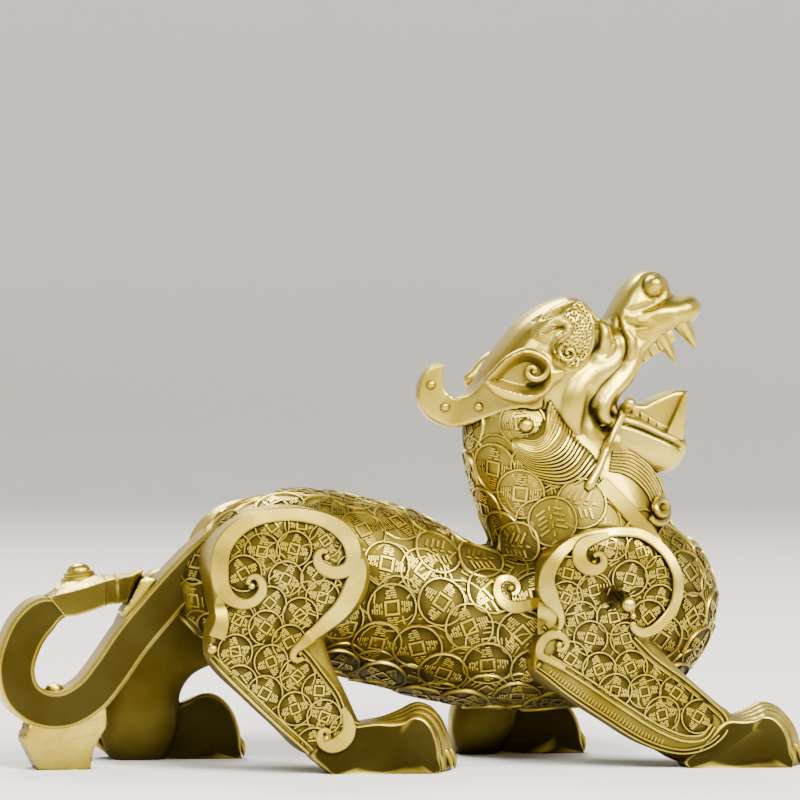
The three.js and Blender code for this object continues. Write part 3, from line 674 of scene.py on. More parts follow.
def tail():
    """The square ribbon of the tail with its tuft and shell, the boss in its loop and the block under it."""
    ribbon = ribbon_bar("ribbon", RIBBON, RIBBON_FACE, RIBBON_DEPTH, 100)
    # Painted shade on the upright sides of the ribbon, and on the tuft's steeper sides.
    shade_upright_sides(ribbon, 0.98)
    tuft = loft("tuft", [[place(low_x, -low, bottom), place(high_x, -high, edge), place(high_x, 0, ridge),
                          place(high_x, high, edge), place(low_x, low, bottom)]
                         for high_x, low_x, bottom, edge, ridge, low, high in TUFT])
    apply_modifier(tuft, "SUBSURF", subdivision_type="SIMPLE", levels=3, render_levels=3)
    roughen(tuft, 0.16, 11, 0.8)
    shade_upright_sides(tuft, 0.88, 0.7)
    foot = rough_block("tail_block", GROUND_BLOCK, RIBBON_DEPTH * 0.94, 1.0, 1.1, 0.28, 12)
    stand_flat(foot)
    web = rough_block("web", WEB, RIBBON_DEPTH * 0.7, 0.8, 0.9, 0.14, 13)
    shell = stack("shell", SHELL_SPOT, SHELL_LEAN, SHELL)
    return join("tail", [ribbon, tuft, foot, web, shell, stack("hole_boss", HOLE_BOSS_SPOT, 0, HOLE_BOSS)])


def body():
    """Trunk, neck and limbs, run into one skin."""
    parts = [trunk("trunk"), neck("neck")]
    for side in SIDES:
        parts += [haunch(kind, kind, side) for kind in HAUNCHES]
        parts += [limb(kind, side) for kind in LIMBS]
        parts += [paw(kind, side, False) for kind in PAWS]
    for name, (outline, heart) in PANELS.items():
        parts.append(cushion(name, outline, heart, SIDES[0] * (STANCE / 2 - PANEL_INSET),
                             LIMB_WIDTH / 2 - PANEL_DRAFT, layers=15, fullness=9, points=80))
    return run_together("pixiu_body", parts, BODY_VOXEL, 4)


def stand_flat(piece):
    """Cuts a form off flat where it stands on the ground."""
    pick(piece)
    edit_all()
    bpy.ops.mesh.bisect(plane_co=(0, 0, 0), plane_no=(0, 0, 1), threshold=1e-6, use_fill=True,
                        clear_inner=True)
    bpy.ops.object.mode_set(mode="OBJECT")


# Carving laid on the forms

def drape(support, x, z, side):
    """The spot where a form is met from the side, and the way out of it there."""
    spot, normal, _, _ = support.ray_cast(place(x, side * 120, z), Vector((0, -side, 0)))
    if spot is None:
        spot, normal, _, _ = support.find_nearest(place(x, side * 45, z))
    if normal.y * side < 0:
        normal = -normal
    return spot, (normal + Vector((0, side * 1.2, 0))).normalized()


BAND_FOOT = 7.0                     # how deep a band's sides reach into the form under it
BAND_EDGE = 0.5                     # bevel along its edges
BAND_STEP = 1.1                     # how far apart its sections stand


def evened(values, times):
    """Numbers along a line with their jumps smoothed out."""
    values = np.array(values, float)
    for _ in range(times):
        values[1:-1] = (values[:-2] + 2 * values[1:-1] + values[2:]) / 4
    return values


def band(name, rows, support, side, width, relief, section=None):
    """A raised flat band along [x, z, share of the width] rows, its face level with the swell under it.

    Its section, [share of the half width, height] corners from edge to edge, is flat with bevelled edges."""
    way = step_lengths(smooth_line(rows, 60)).sum()
    line = smooth_line(rows, max(8, round(way / BAND_STEP)))
    hits = [drape(support, x, z, side) for x, z, _ in line]
    depth = evened([spot.y for spot, _ in hits], 5)
    outs = evened([out for _, out in hits], 5)
    spots = [Vector((spot.x, y, spot.z)) for (spot, _), y in zip(hits, depth)]
    rings = []
    for i, (_, _, share) in enumerate(line):
        along = spots[min(i + 1, len(spots) - 1)] - spots[max(i - 1, 0)]
        out = Vector(outs[i]).normalized()
        across = along.cross(out).normalized()
        half = share * width / 2
        edge = min(BAND_EDGE, half * 0.4)
        corners = section or [(-1, relief - edge), (edge / half - 1, relief), (1 - edge / half, relief),
                              (1, relief - edge)]
        corners = [(-1, -BAND_FOOT), *corners, (1, -BAND_FOOT)]
        ring = [spots[i] + across * a * half * MM + out * rise * MM for a, rise in corners]
        rings.append([Vector((p.x, p.y, max(p.z, 0.1 * MM))) for p in ring])
    return loft(name, rings)


# A rim of two fine lines with a channel between them.
DOUBLE_RIM = [
    (-1, 0.5), (-0.8, 1.2), (-0.45, 1.2), (-0.2, 0.35), (0.2, 0.35), (0.4, 1.5), (0.85, 1.5), (1, 0.9),
]


BOSS_STEPS = [(1, -0.6), (1, 0.15), (0.88, 0.55), (0.62, 0.85), (0.3, 0.98), (0.08, 1)]


def boss(name, x, z, support, side, diameter, rise):
    """A round raised knob with a shoulder."""
    spot, way_out = drape(support, x, z, side)
    across = way_out.orthogonal().normalized()
    up = way_out.cross(across)
    return loft(name, [circle(spot + way_out * height * rise * MM, across, up, size * diameter / 2, 12)
                       for size, height in BOSS_STEPS])


THIGH_BANDS = [
    [[-70.1, 74.8, 0.28], [-69.5, 77, 0.34], [-67, 77.8, 0.4], [-64.8, 75.7, 0.5], [-64.3, 72.6, 0.58],
     [-66.1, 69.4, 0.62], [-69.7, 67.3, 0.64], [-73.7, 67.5, 0.7], [-77.3, 69.7, 0.8], [-79.8, 74, 0.95],
     [-80.6, 79, 1.05], [-80.1, 86.7, 1.05], [-75.7, 93.8, 1.0], [-68.5, 98.8, 0.9], [-59.6, 101.2, 0.82],
     [-49.9, 101.4, 0.82], [-40.2, 99.3, 0.9], [-33.4, 95.5, 1], [-29.3, 90.2, 1.02], [-28.4, 84.8, 0.96],
     [-29.9, 81, 0.88], [-33.3, 79.2, 0.82], [-36.9, 79.2, 0.78], [-40.2, 80.6, 0.72], [-42.4, 83.5, 0.62],
     [-42.4, 86.2, 0.5], [-40.7, 87.5, 0.4], [-38.8, 87.1, 0.3]],
    [[-25.8, 84, 0.5], [-26, 79.6, 0.95], [-27.8, 74.4, 1.22], [-30.3, 69, 1.2], [-33.4, 64.5, 1.1],
     [-38.8, 59.6, 0.95], [-45.2, 54.3, 0.68], [-49.2, 50.8, 0.5], [-51.6, 48.8, 0.42], [-52, 46.4, 0.34],
     [-50, 45.2, 0.3], [-48.2, 46.4, 0.25]],
    [[-79.4, 70, 0.62], [-79.9, 66.9, 0.72], [-79.8, 60.8, 0.82], [-82, 54, 1.0]],
]
THIGH_HOOK = [
    [-41, 57.8, 0.86], [-45.2, 54.3, 0.78], [-49.2, 50.8, 0.62], [-51.8, 48.6, 0.5], [-52.4, 46.2, 0.42],
    [-50.6, 44.9, 0.36], [-48.6, 45.8, 0.3],
]
THIGH_BALLS = [(-68.6, 74.0, 3.6), (-38.9, 85.0, 3.4), (-49.6, 47.6, 2.6), (-83.4, 49.6, 4.6)]
SHOULDER_BANDS = [
    [[46.9, 52.4, 0.18], [50.8, 53, 0.28], [54.2, 55.6, 0.34], [55.2, 59, 0.38], [54.4, 62.4, 0.5],
     [52.6, 65.4, 0.75], [50.8, 68.4, 1.05], [49.9, 70.8, 1.1], [49.6, 75.3, 0.98], [51.2, 80, 0.86],
     [54.9, 85, 0.76], [60.3, 89, 0.7], [67.5, 91.9, 0.6], [77.9, 93.3, 0.58], [86.3, 92.4, 0.62],
     [93, 88.8, 0.66], [98.2, 83.4, 0.66], [101.3, 77.6, 0.66], [102, 71.5, 0.66], [100.5, 64.7, 0.64],
     [96.2, 58.7, 0.62], [91, 54.8, 0.62], [86.9, 54.2, 0.6], [84, 56.2, 0.46], [83.6, 58.4, 0.3]],
    [[74, 92.4, 0.4], [69.2, 91.2, 0.6], [64.3, 89, 0.8], [62.3, 86, 0.9], [62.6, 82.2, 0.88],
     [65.3, 79.7, 0.8], [68.8, 79.1, 0.7], [71.5, 80.9, 0.55], [71.7, 83.8, 0.42], [69.8, 85.3, 0.34],
     [67.7, 84.4, 0.28]],
    [[50.4, 66.6, 0.6], [46.7, 65.2, 0.7], [42.7, 63.9, 0.74], [38.7, 63.6, 0.74], [34.9, 65.4, 0.68],
     [32.8, 69, 0.6], [33.6, 72.6, 0.54], [36.7, 74.4, 0.5], [40, 73.6, 0.45], [41.4, 71.1, 0.4],
     [40.4, 68.9, 0.34], [38.6, 68.4, 0.28]],
]
FUNNEL = [[49.2, 67, 0.9], [50, 63.6, 1.2], [50.2, 60, 1.25], [49.4, 56.4, 1.0], [47.6, 54, 0.5]]
# A scoop with its raised rim on the right.
FUNNEL_SECTION = [(-1, 0.3), (-0.8, 0.5), (-0.4, -0.2), (0.2, -0.5), (0.7, 0), (1, 0.2)]
SHOULDER_BALLS = [(38.6, 70.6, 3.4), (67.8, 82.2, 2.2), (83.6, 61, 3.4)]
DENT = [[70, 67.6], [71.6, 70.6], [76, 71.2], [81, 69.6], [80.6, 66.4], [75, 65]]
DENT_RIDGE = [[77, 63.9, 0.5], [80, 63.3, 1], [83.4, 62.9, 1.1], [86.4, 62, 0.6]]
CHEST_BAND = [[76, 112.4, 0.9], [84, 104, 1.0], [91.4, 95.8, 1.0], [98, 88, 0.95], [101.6, 80.4, 0.72]]
FOREARM_BANDS = [
    [[53, 48, 0.3], [55.8, 47.8, 0.36], [57, 50.4, 0.42], [54.8, 53, 0.5], [50.8, 53.2, 0.55],
     [47.4, 50.1, 0.58], [46.6, 45.6, 0.5], [50, 43.8, 0.42], [56, 40.4, 0.36]],
]
FOREARM_RIMS = [
    [[50, 44.6, 0.9], [65.1, 35.1, 1], [81.1, 24.3, 1], [95.5, 15.5, 1], [105.2, 12, 1], [112.4, 12.6, 0.9],
     [116, 17, 0.8]],
    [[45.6, 40.4, 0.6], [57.4, 31.2, 0.7], [73.4, 20.6, 0.7], [89.4, 11, 0.7], [101.6, 7.2, 0.7],
     [110.6, 7.6, 0.7], [117, 10.4, 0.7], [121.4, 15.4, 0.8], [120.8, 19.4, 0.9], [115.2, 24.8, 1],
     [104.8, 33.6, 1], [91.2, 43.6, 1], [83.6, 51.4, 0.8]],
]
FOREARM_FLUTES = [[50.4, 38.8], [57.4, 33.4], [72.6, 23.4], [88.4, 13.6], [97, 9.8]]
FLUTE_COUNT = 38
FLUTE_REACH = 1.4                   # half a flute's length
FLUTE_RELIEF = 0.45
SHANK_BANDS = [
    [[-32.6, 26, 0.36], [-30.6, 21.6, 0.66], [-30.4, 16.6, 0.92], [-33.3, 12.6, 0.98], [-37.6, 11.4, 0.86],
     [-41, 13.4, 0.62], [-41.6, 16.4, 0.42], [-39.7, 17.7, 0.34], [-37.7, 16.6, 0.26]],
]
SHANK_RIMS = [
    [[-83.4, 46.6, 0.8], [-80.6, 43.2, 1], [-67.2, 29.9, 1.05], [-55.2, 18.6, 1.05], [-45, 9.4, 1]],
    [[-32.6, 25, 0.6], [-35.2, 31, 0.8], [-41.4, 39.4, 0.8], [-46.4, 46, 0.8], [-49.4, 49.6, 0.5]],
]
# Plain bands that close the coin fields of the left limbs, whose legs are left smooth.
LEFT_BORDERS = [
    [[-76, 52, 0.5], [-70, 48.5, 0.8], [-62, 46, 0.9], [-53, 45.4, 0.9], [-45, 47, 0.7]],
    [[52, 57, 0.4], [57, 51, 0.7], [65, 47.6, 0.9], [75, 47, 0.9], [83, 49.4, 0.8], [88, 53.6, 0.5]],
]
SHANK_BALLS = [(-39.3, 14.4, 3.2)]
FOREARM_BALLS = [(53.8, 49.6, 3.2), (46.2, 42, 2.6)]
DENT_KNOB = (82, 65, 6.6)


def flutes(support, side):
    """Short strokes across the channel between the two rims of a forearm."""
    line = smooth_line(FOREARM_FLUTES, FLUTE_COUNT)
    strokes = []
    for (x, z), (next_x, next_z) in zip(line, line[1:]):
        lean = Vector((next_x - x, next_z - z)).normalized() * FLUTE_REACH
        ends = [[x + lean.y, z - lean.x, 0.1], [x - lean.y, z + lean.x, 0.1]]
        strokes.append(band("flute", ends, support, side, BAND_WIDTH, FLUTE_RELIEF))
    return strokes


def limb_bands(side, thigh, shoulder, skin):
    """The scroll bands, rims and knobs of a side, each laid on the thigh, the shoulder or the body's skin."""
    back = left_only(THIGH_SETBACK, side)
    thigh_bands = [shifted(rows, back) for rows in (*THIGH_BANDS, THIGH_HOOK)]
    scrolls = [(thigh_bands[:2], thigh, 1), (thigh_bands[2:], skin, 1), (SHOULDER_BANDS[:2], shoulder, 1),
               (SHOULDER_BANDS[2:], skin, 0.9), ([CHEST_BAND], skin, 0.8)]
    rims = []
    balls = [(x + back, z, size) for x, z, size in THIGH_BALLS] + SHOULDER_BALLS
    if side < 0:
        scrolls.append((FOREARM_BANDS + SHANK_BANDS, skin, 0.7))
        rims += FOREARM_RIMS + SHANK_RIMS
        balls += SHANK_BALLS + FOREARM_BALLS + [DENT_KNOB]
    else:
        scrolls.append((LEFT_BORDERS, skin, 0.8))
    bands = [band("funnel", FUNNEL, shoulder, side, BAND_WIDTH, 0, FUNNEL_SECTION)]
    for lines, support, share in scrolls:
        bands += [band("scroll", rows, support, side, BAND_WIDTH, BAND_RELIEF * share) for rows in lines]
    bands += [band("rim", rows, skin, side, RIM_WIDTH, 0, DOUBLE_RIM) for rows in rims]
    bands += flutes(skin, side) if side < 0 else []
    return bands + [boss("curl_ball", x, z, skin, side, size, BALL_RISE) for x, z, size in balls]


# Coins

FLANK_COINS = [
    (3, 78), (10, 66), (-10, 64), (-12, 81), (21, 56), (31, 70), (42, 53), (1, 48), (-15, 50), (12, 38),
    (29, 41), (48, 39), (43, 28), (23, 26),
]
GLYPH_COINS = [(10, 85), (28, 81), (45, 87), (57, 97), (68, 104)]
NECK_COINS = [(35, 118), (45, 108), (34, 101), (50, 119), (52, 96), (40, 92)]
CHEST_COINS = [(109, 87), (112, 76), (112, 59), (106, 97)]
THIGH_COINS = [
    (-64.3, 87.3), (-51.8, 88.3), (-39.3, 91.4), (-60.2, 97), (-48.5, 97.6), (-71.6, 79), (-55, 76.8),
    (-42.1, 77), (-40.5, 69.3), (-61.5, 67.3), (-49.4, 62.4), (-63.1, 57.8), (-74, 61), (-53.8, 52),
    (-75.2, 88),
]
SHANK_COINS = [
    (-75, 48.7), (-61, 44.5), (-50.5, 38.8), (-73, 37), (-63.4, 32.2), (-51.6, 26.1), (-40, 22.7),
    (-42, 33),
]
SHOULDER_COINS = [
    (87.2, 85.5), (82.5, 75.4), (95.3, 77.3), (75.2, 89), (71, 87), (57.7, 77.6), (68.1, 70.9), (56.9, 68),
    (62.9, 60), (76.1, 60.3), (94.5, 66.3), (66.5, 52), (80.9, 51.6), (90, 60),
]
FOREARM_COINS = [
    (58.4, 44), (69.9, 39.7), (82.7, 40.3), (76.3, 31.2), (88.3, 30.8), (101.1, 30), (95.5, 21.6),
    (110, 20.6),
]
# The coin fields, along the middles of the bands round them; coins are cut off there.
THIGH_FIELD = [
    [-80.6, 79], [-80, 86.7], [-75.7, 93.6], [-68.5, 98.6], [-59.6, 101], [-49.9, 101.2], [-40.2, 99],
    [-33.4, 95.2], [-29.6, 90.2], [-28.4, 82], [-28.6, 74.4], [-31, 69], [-34, 64.5], [-39, 59.6],
    [-45.4, 54.3], [-49.6, 50.6], [-60, 44], [-80, 52], [-80, 66],
]
SHANK_FIELD = [
    [-83, 50], [-80.4, 43.4], [-67.2, 30], [-55.2, 18.7], [-45, 9.6], [-38, 11.6], [-31.4, 15], [-31, 21.5],
    [-33.4, 26], [-36, 31], [-41.4, 39.2], [-46.4, 45.8], [-49, 51], [-60, 58], [-80, 60],
]
SHOULDER_FIELD = [
    [52, 63.6], [50.4, 67.6], [49.6, 71], [49.8, 75.3], [51.4, 80], [55.1, 84.8], [60.5, 88.8],
    [67.5, 91.6], [77.9, 93], [86.3, 92], [93, 88.5], [98, 83.2], [101, 77.6], [101.8, 71.5], [100.2, 64.7],
    [96, 58.9], [91, 55], [86, 53], [78, 46], [62, 44], [56, 50], [55, 58],
]
FOREARM_FIELD = [
    [51.6, 43.8], [65.1, 35.2], [81.1, 24.4], [95.5, 15.6], [105.2, 12.2], [112.4, 12.8], [116.4, 17.2],
    [115, 24.6], [104.6, 33.4], [91, 43.4], [83.4, 51.4], [76, 58], [62, 58], [56, 53],
]

# Steps from a coin's wall to its field: inwards as a share of the radius, and up in millimetres.
COIN_STEPS = [(0.03, 0.45), (0.055, 0.0), (0.04, -0.85), (0.42, 0.1)]
COIN_WALL = 1.6                     # how high its plain edge stands
COIN_FOOT = 1.2                     # how much of that lies under the skin
COIN_SIDES = 20
COIN_SINK = 3.2                     # how far a coin's part beyond its field is sunk
COIN_TILT = 0.55                    # how far a coin's upper edge stands off the one above it


def coin_pattern(name, strokes, sides=COIN_SIDES):
    """A round coin of radius 1 with a raised ring, a square frame and bars; heights are in millimetres."""
    deselect()
    bpy.ops.mesh.primitive_circle_add(vertices=sides, radius=1, fill_type="NGON", location=(0, 0, 0))
    pattern = bpy.context.object
    pattern.name = name
    edit_all()
    bpy.ops.mesh.select_mode(type="FACE")
    bpy.ops.mesh.select_all(action="SELECT")
    bpy.ops.transform.translate(value=(0, 0, -COIN_FOOT))
    bpy.ops.mesh.extrude_region_move(TRANSFORM_OT_translate={"value": (0, 0, COIN_WALL)})
    for inward, rise in COIN_STEPS:
        bpy.ops.mesh.inset(thickness=inward)
        bpy.ops.transform.translate(value=(0, 0, rise))
    bpy.ops.mesh.poke()
    for x, y, angle, length, width, rise in strokes:
        bpy.ops.mesh.primitive_cube_add(size=1, location=(x, y, rise / 2 - 0.1), rotation=(0, 0, angle),
                                        scale=(length, width, rise + 0.2))
    bpy.ops.object.mode_set(mode="OBJECT")
    mark_patina_and_shade(pattern, [1 - min(max((v.co.z - 0.05) / 0.4, 0), 1) for v in pattern.data.vertices])
    return pattern


# Bars of the rows beyond a side of the coin's square: distance out, distance aside and length.
COIN_BARS = [
    (0.4, -0.13, 0.2), (0.4, 0.14, 0.16), (0.49, 0.01, 0.4), (0.58, -0.15, 0.15), (0.58, 0.09, 0.22),
    (0.67, 0.0, 0.36), (0.76, 0.06, 0.18),
]


def scale_strokes():
    """A square frame, and beyond each of its sides rows of short bars that don't touch."""
    strokes = []
    for quarter in range(4):
        turn = quarter * math.pi / 2
        out = Vector((math.cos(turn), math.sin(turn)))
        side = Vector((-out.y, out.x)) * (-1) ** quarter
        strokes.append((*(out * 0.25), turn + math.pi / 2, 0.58, 0.085, 0.75))
        for far, aside, long in COIN_BARS:
            strokes.append((*(out * far + side * aside), turn + math.pi / 2, long, 0.055, 0.62))
    return strokes


def under_strokes():
    """The frame and a few bars, for the coins that lie under the others."""
    return [stroke for k, stroke in enumerate(scale_strokes()) if k % 8 in (0, 3, 6)]


def glyph_strokes():
    """Two slanted blocks of short bars that don't touch, across the whole coin."""
    strokes = [(-0.36, 0.42 - 0.2 * k, 0.35, 0.42 - 0.12 * (k % 2), 0.085, 0.75) for k in range(5)]
    strokes += [(0.32, 0.44 - 0.24 * k, -0.45, 0.34 + 0.14 * (k % 2), 0.09, 0.75) for k in range(4)]
    strokes += [(0.0, 0.52 - 0.34 * k, 1.35, 0.18, 0.08, 0.7) for k in range(4)]
    return strokes


def lay_coin(pattern, support, spot, normal, diameter, turn, lift, field=None):
    """A copy of a coin bent onto a form, its upper edge lifted like a scale's and cut at its field's edge."""
    coin = pattern.copy()
    coin.data = pattern.data.copy()
    bpy.context.scene.collection.objects.link(coin)
    up = Vector((0, 0, 1)) - normal * normal.z
    if up.length < 0.35:
        up = Vector((-1, 0, 0)) - normal * -normal.x
    up.normalize()
    across = up.cross(normal)
    size = diameter / 2 * MM
    cos, sin = math.cos(turn), math.sin(turn)
    for vertex in coin.data.vertices:
        a, b, rise = vertex.co
        right, high = a * cos - b * sin, a * sin + b * cos
        hit, out, _, _ = support.find_nearest(spot + (across * right + up * high) * size)
        if out.dot(normal) < 0:
            out = -out
        vertex.co = hit + (out + normal).normalized() * (rise + lift + COIN_TILT * high) * MM
    if field:
        spots = np.array([vertex.co for vertex in coin.data.vertices])
        for vertex, held in zip(coin.data.vertices, field(spots)):
            if not held:
                vertex.co -= normal * COIN_SINK * MM
    return coin


def side_coins(places, pattern, support, side, diameter, rng, lift=0.0, field=None):
    """Coins whose middles are set out in the side view. Gives the coins, and their middles and sizes."""
    coins = []
    spots = []
    for k, (x, z) in enumerate(places):
        hit, normal, _, _ = support.ray_cast(place(x, side * 120, z), Vector((0, -side, 0)))
        if hit is not None:
            size = diameter * rng.uniform(0.96, 1.04)
            turn = rng.uniform(0, math.pi / 2)
            coins.append(lay_coin(pattern, support, hit, normal, size, turn, lift + 0.3 * (k % 2), field))
            spots.append((hit, size))
    return coins, spots


def fill_coins(pattern, support, box, wanted, taken, diameter, rng, tries, spacing, lift, field=None):
    """More coins, scattered over what is still bare, each far enough from the ones that are there."""
    coins = []
    for _ in range(tries):
        guess = place(*(rng.uniform(low, high) for low, high in zip(*box)))
        spot, normal, _, _ = support.find_nearest(guess)
        if not wanted(unplace(spot), normal):
            continue
        if all((spot - other).length > (size + diameter) / 2 * spacing * MM for other, size in taken):
            taken.append((spot, diameter))
            coins.append(lay_coin(pattern, support, spot, normal, diameter * rng.uniform(0.95, 1.05),
                                  rng.uniform(0, math.pi / 2), lift + rng.uniform(0, 0.4), field))
    return coins


# The head, as side outlines

SKULL = [
    [32, 154], [35, 160.5], [41, 168.5], [47, 175.5], [54, 181], [62, 185], [69, 186.5], [75, 184],
    [80, 178], [85, 171], [87, 160], [84, 150], [78, 139], [71, 128], [62, 125], [50, 131], [38, 142],
]
MUZZLE = [
    [79, 172], [84, 178], [88, 185], [92, 191], [96, 194.9], [101, 196.7], [106, 195.8], [109.4, 192.4],
    [111, 187.5], [116, 186.5], [122, 185], [122, 180], [116, 175.5], [106, 170], [99, 166.5], [96, 160],
    [92, 152], [88, 146], [81, 145], [77, 152], [75, 163],
]
LIP = [
    [88, 171], [91, 178], [96.5, 183.4], [103, 185.8], [112, 186.6], [120, 186.6], [123, 183], [120, 176.5],
    [111, 172.5], [102, 168.5], [92, 165],
]
JAW = [
    [72, 127], [77, 137], [84, 142.5], [91, 141], [99, 137.5], [107, 133.5], [115, 130], [117, 127],
    [115, 121], [111, 116.5], [105, 115], [97, 117], [88, 120.5], [78, 122],
]
HORN = [
    [17.4, 159.4], [17.2, 159.5], [14.6, 159.4], [11.2, 157.8], [8.4, 154], [6.9, 148.4], [7.8, 142.4],
    [12.2, 137], [20.6, 134], [26.4, 135.2], [32, 137.6], [38, 140.2], [45.2, 141.9], [53, 142], [52, 154],
    [40, 158], [34.5, 156], [31.2, 151.6], [28, 148], [24.2, 146.2], [20.2, 146.4], [17.4, 149.4],
    [16.7, 154],
]
HORN_TIP_THICKNESS = 8
HORN_ROOT_THICKNESS = 44
HORN_STUDS = [(11.8, 151.2), (17.3, 142.2), (29.7, 142.4)]
BROW = [[50, 171], [59, 182], [68, 184.5], [76, 177], [76, 164], [70, 158.5], [60, 163]]
CHEEK = [
    [87.6, 9, 171, 3.2], [86.6, 10.8, 165.5, 4.6], [82.5, 12.6, 159, 6.4], [74, 13.5, 154.5, 8.5],
    [68.5, 14, 147, 9.5], [67.5, 14, 139, 9], [71, 13.5, 132, 7.5], [77.5, 12, 128.5, 6], [86, 10, 127, 5],
]
LIP_BAND = [
    [107, 11, 173.5, 2.2], [101, 11.5, 170.5, 3], [95, 11.5, 165, 3.4], [92.5, 12.5, 159, 3.4],
    [88.5, 14, 153, 3.4], [83, 15.5, 147.5, 3.3], [79.5, 16.5, 142.5, 3.2], [79.5, 16.5, 138.3, 3],
    [82.5, 15.5, 136.3, 2.2],
]
MOUTH_HOOK = [
    [88, 13, 149, 1.2], [85.4, 14, 146.4, 1.5], [84.2, 14.5, 143.2, 1.6], [85, 14.3, 140.4, 1.5],
    [87, 13.5, 138.8, 1.2],
]
CHEEK_FOLD = [
    [88.5, 10, 166, 3.6], [88.2, 10.6, 160.5, 4.8], [85, 11.6, 155, 5.3], [80.6, 12.4, 150.2, 5.4],
    [77.2, 13.2, 144.6, 5.4], [76.8, 13.6, 139, 5.2], [79.4, 13.2, 134.6, 4.4],
]
LID = [
    [84.3, 15.6, 168.8, 0.6], [83.7, 16.4, 166.6, 1.1], [82, 17, 164.3, 1.4], [79.1, 17.6, 161.8, 1.4],
    [75.4, 17.8, 160.5, 0.9],
]
EYE_RIM = [[79.6, 177.2, 0.5], [80.6, 176, 1], [81.8, 174, 0.6]]
NOSE_GROOVE = [
    [106.6, 188.3, 0.5], [104, 186.4, 0.9], [100.6, 186.3, 1], [98, 188.4, 1], [97.2, 191.4, 1],
    [98.2, 194, 1], [100.6, 195.6, 0.8], [103.4, 196, 0.5],
]
FLAP = [
    [86, 141], [93.1, 143.4], [98.4, 142.7], [103.8, 145.4], [110.4, 148.1], [115.9, 148.8], [115.2, 139],
    [114.6, 131], [106, 131], [95, 134], [86, 136],
]
EYE_GROOVE = [[75, 177.5, 0.6], [77.2, 173.5, 1], [76.6, 168, 1], [75.6, 163.8, 1], [74, 161.4, 0.5]]
LIP_GROOVE = [
    [86.3, 178.5, 0.5], [87, 174.5, 0.9], [89, 170.5, 1], [89.6, 165.5, 1], [88.3, 159.5, 1],
    [83.9, 154.6, 1], [78.6, 149.6, 1.1], [75.8, 144.3, 1.2], [75.8, 138.8, 1.2], [78.4, 134.6, 1.2],
    [82.8, 133.4, 1],
]
OUTER_GROOVE = [
    [84.6, 179, 0.4], [85, 175.4, 0.8], [88, 172.2, 0.7], [91, 168.7, 0.8], [91.2, 164.6, 0.7],
    [89.8, 161, 0.4],
]
CHEEK_CHANNEL = [[72.3, 149.5, 0.3], [73.1, 145, 1], [72.6, 139.5, 1.2], [71, 133.5, 1], [71.2, 128, 0.5]]
LEAF_HOLLOW = [[89.6, 181.2], [96.4, 183.4], [106.1, 185.9], [102.4, 181.8], [96.4, 180], [91.1, 179.2]]
LIP_CREASE = [[89.3, 177.4, 0.4], [91, 175.4, 0.9], [94, 174.5, 1], [99.4, 174.2, 0.4]]
LIP_DENT = [[98.5, 177.6], [103, 179.5], [108, 180], [109.5, 177], [104, 174.6], [99.5, 174.8]]
JAW_LINES = [
    [[88, 139.6, 0.6], [96.3, 137.4, 1], [105.9, 132.6, 1], [114, 128.9, 0.8]],
    [[87.5, 135.8, 0.8], [95.8, 133.4, 1.2], [104.2, 129.8, 1.2], [112.5, 125.6, 1]],
]
BROW_EDGE = [
    [66.5, 184.4, 0.7], [71.4, 181.7, 1], [73.8, 176.2, 1], [74.4, 170.9, 1], [73.1, 165.4, 1],
    [69.4, 160.4, 1], [66.3, 158.6, 1], [61.3, 160.6, 1], [58, 165.4, 1], [59, 169.4, 1], [63.6, 172.8, 1],
    [63.6, 174.6, 0.9], [58.3, 175.4, 0.9], [53.5, 171.8, 0.7], [50.7, 170.8, 0.4],
]
BROW_LEAVES = [
    [[51.2, 176.4], [55.6, 179.3], [58.9, 181.1], [62, 181.7], [61.8, 180], [58.3, 178.3], [55, 177.1]],
    [[51.2, 171.2], [54.2, 173.4], [58.3, 176.8], [62.6, 175.4], [62.4, 173.6], [58.3, 173.2],
     [54.5, 171.3]],
]
BROW_PATCH = [
    [70.4, 184.8], [66.3, 183], [62.3, 179.8], [60.9, 178], [63.2, 176.6], [65.3, 174.5], [64.8, 171.6],
    [61.7, 168.7], [59.3, 165], [60.1, 161.4], [63.3, 159.2], [67.8, 159], [71.8, 162.4], [74, 168.6],
    [74.4, 173], [73.6, 178], [72.4, 181.6],
]
EAR = [
    [29.5, 152.6], [33.6, 158], [38.8, 163], [46.1, 166.2], [52.3, 164.8], [56.6, 161.6], [58.4, 158.4],
    [62.4, 157], [61.9, 154.6], [57.5, 151], [54.9, 147.5], [48.7, 143.9], [42, 144], [34.7, 146.6],
]
EAR_HOLLOW = [
    [31, 152.4], [35, 157.4], [39.8, 161.8], [46.1, 164.4], [51.3, 163.3], [54.9, 160.6], [56.4, 156.3],
    [55.6, 151.4], [51.6, 147.6], [46, 147.4], [38, 149.4],
]
EAR_CURL = [
    [53, 0.5, 164.4, 1.1], [55.4, 0.9, 162, 1.5], [56, 1, 158.8, 1.6], [55, 1, 156, 1.6],
    [52.8, 1, 154.1, 1.5], [50.2, 1.1, 153.6, 1.4], [47.9, 1.2, 154.7, 1.3], [47, 1.3, 156.7, 1.15],
    [47.8, 1.4, 158.3, 1.0], [49.6, 1.5, 158.2, 0.9], [50.2, 1.6, 156.7, 0.85], [49.2, 1.7, 156.2, 0.7],
]
EAR_PIT = [[46.6, 151.6], [49.6, 152.6], [53, 152.4], [54.6, 151.2], [52.6, 149.2], [49, 148.8]]
EAR_THICKNESS = 8
EAR_TURN = math.radians(8)
EAR_STAND = 2.4                     # how far the ear's middle stands off the skull's widest side

# Round forms of the head: the middle of the left one, and its radius along each axis.
ROUNDS = {
    "eye": ((78.2, 14.8, 170), (5.4, 6, 7.6)),
    "muzzle_root": ((88.8, 7.5, 166), (8.4, 9.2, 10)),
    "nostril": ((102.2, 10.6, 191), (3.1, 3.1, 3.7)),
}
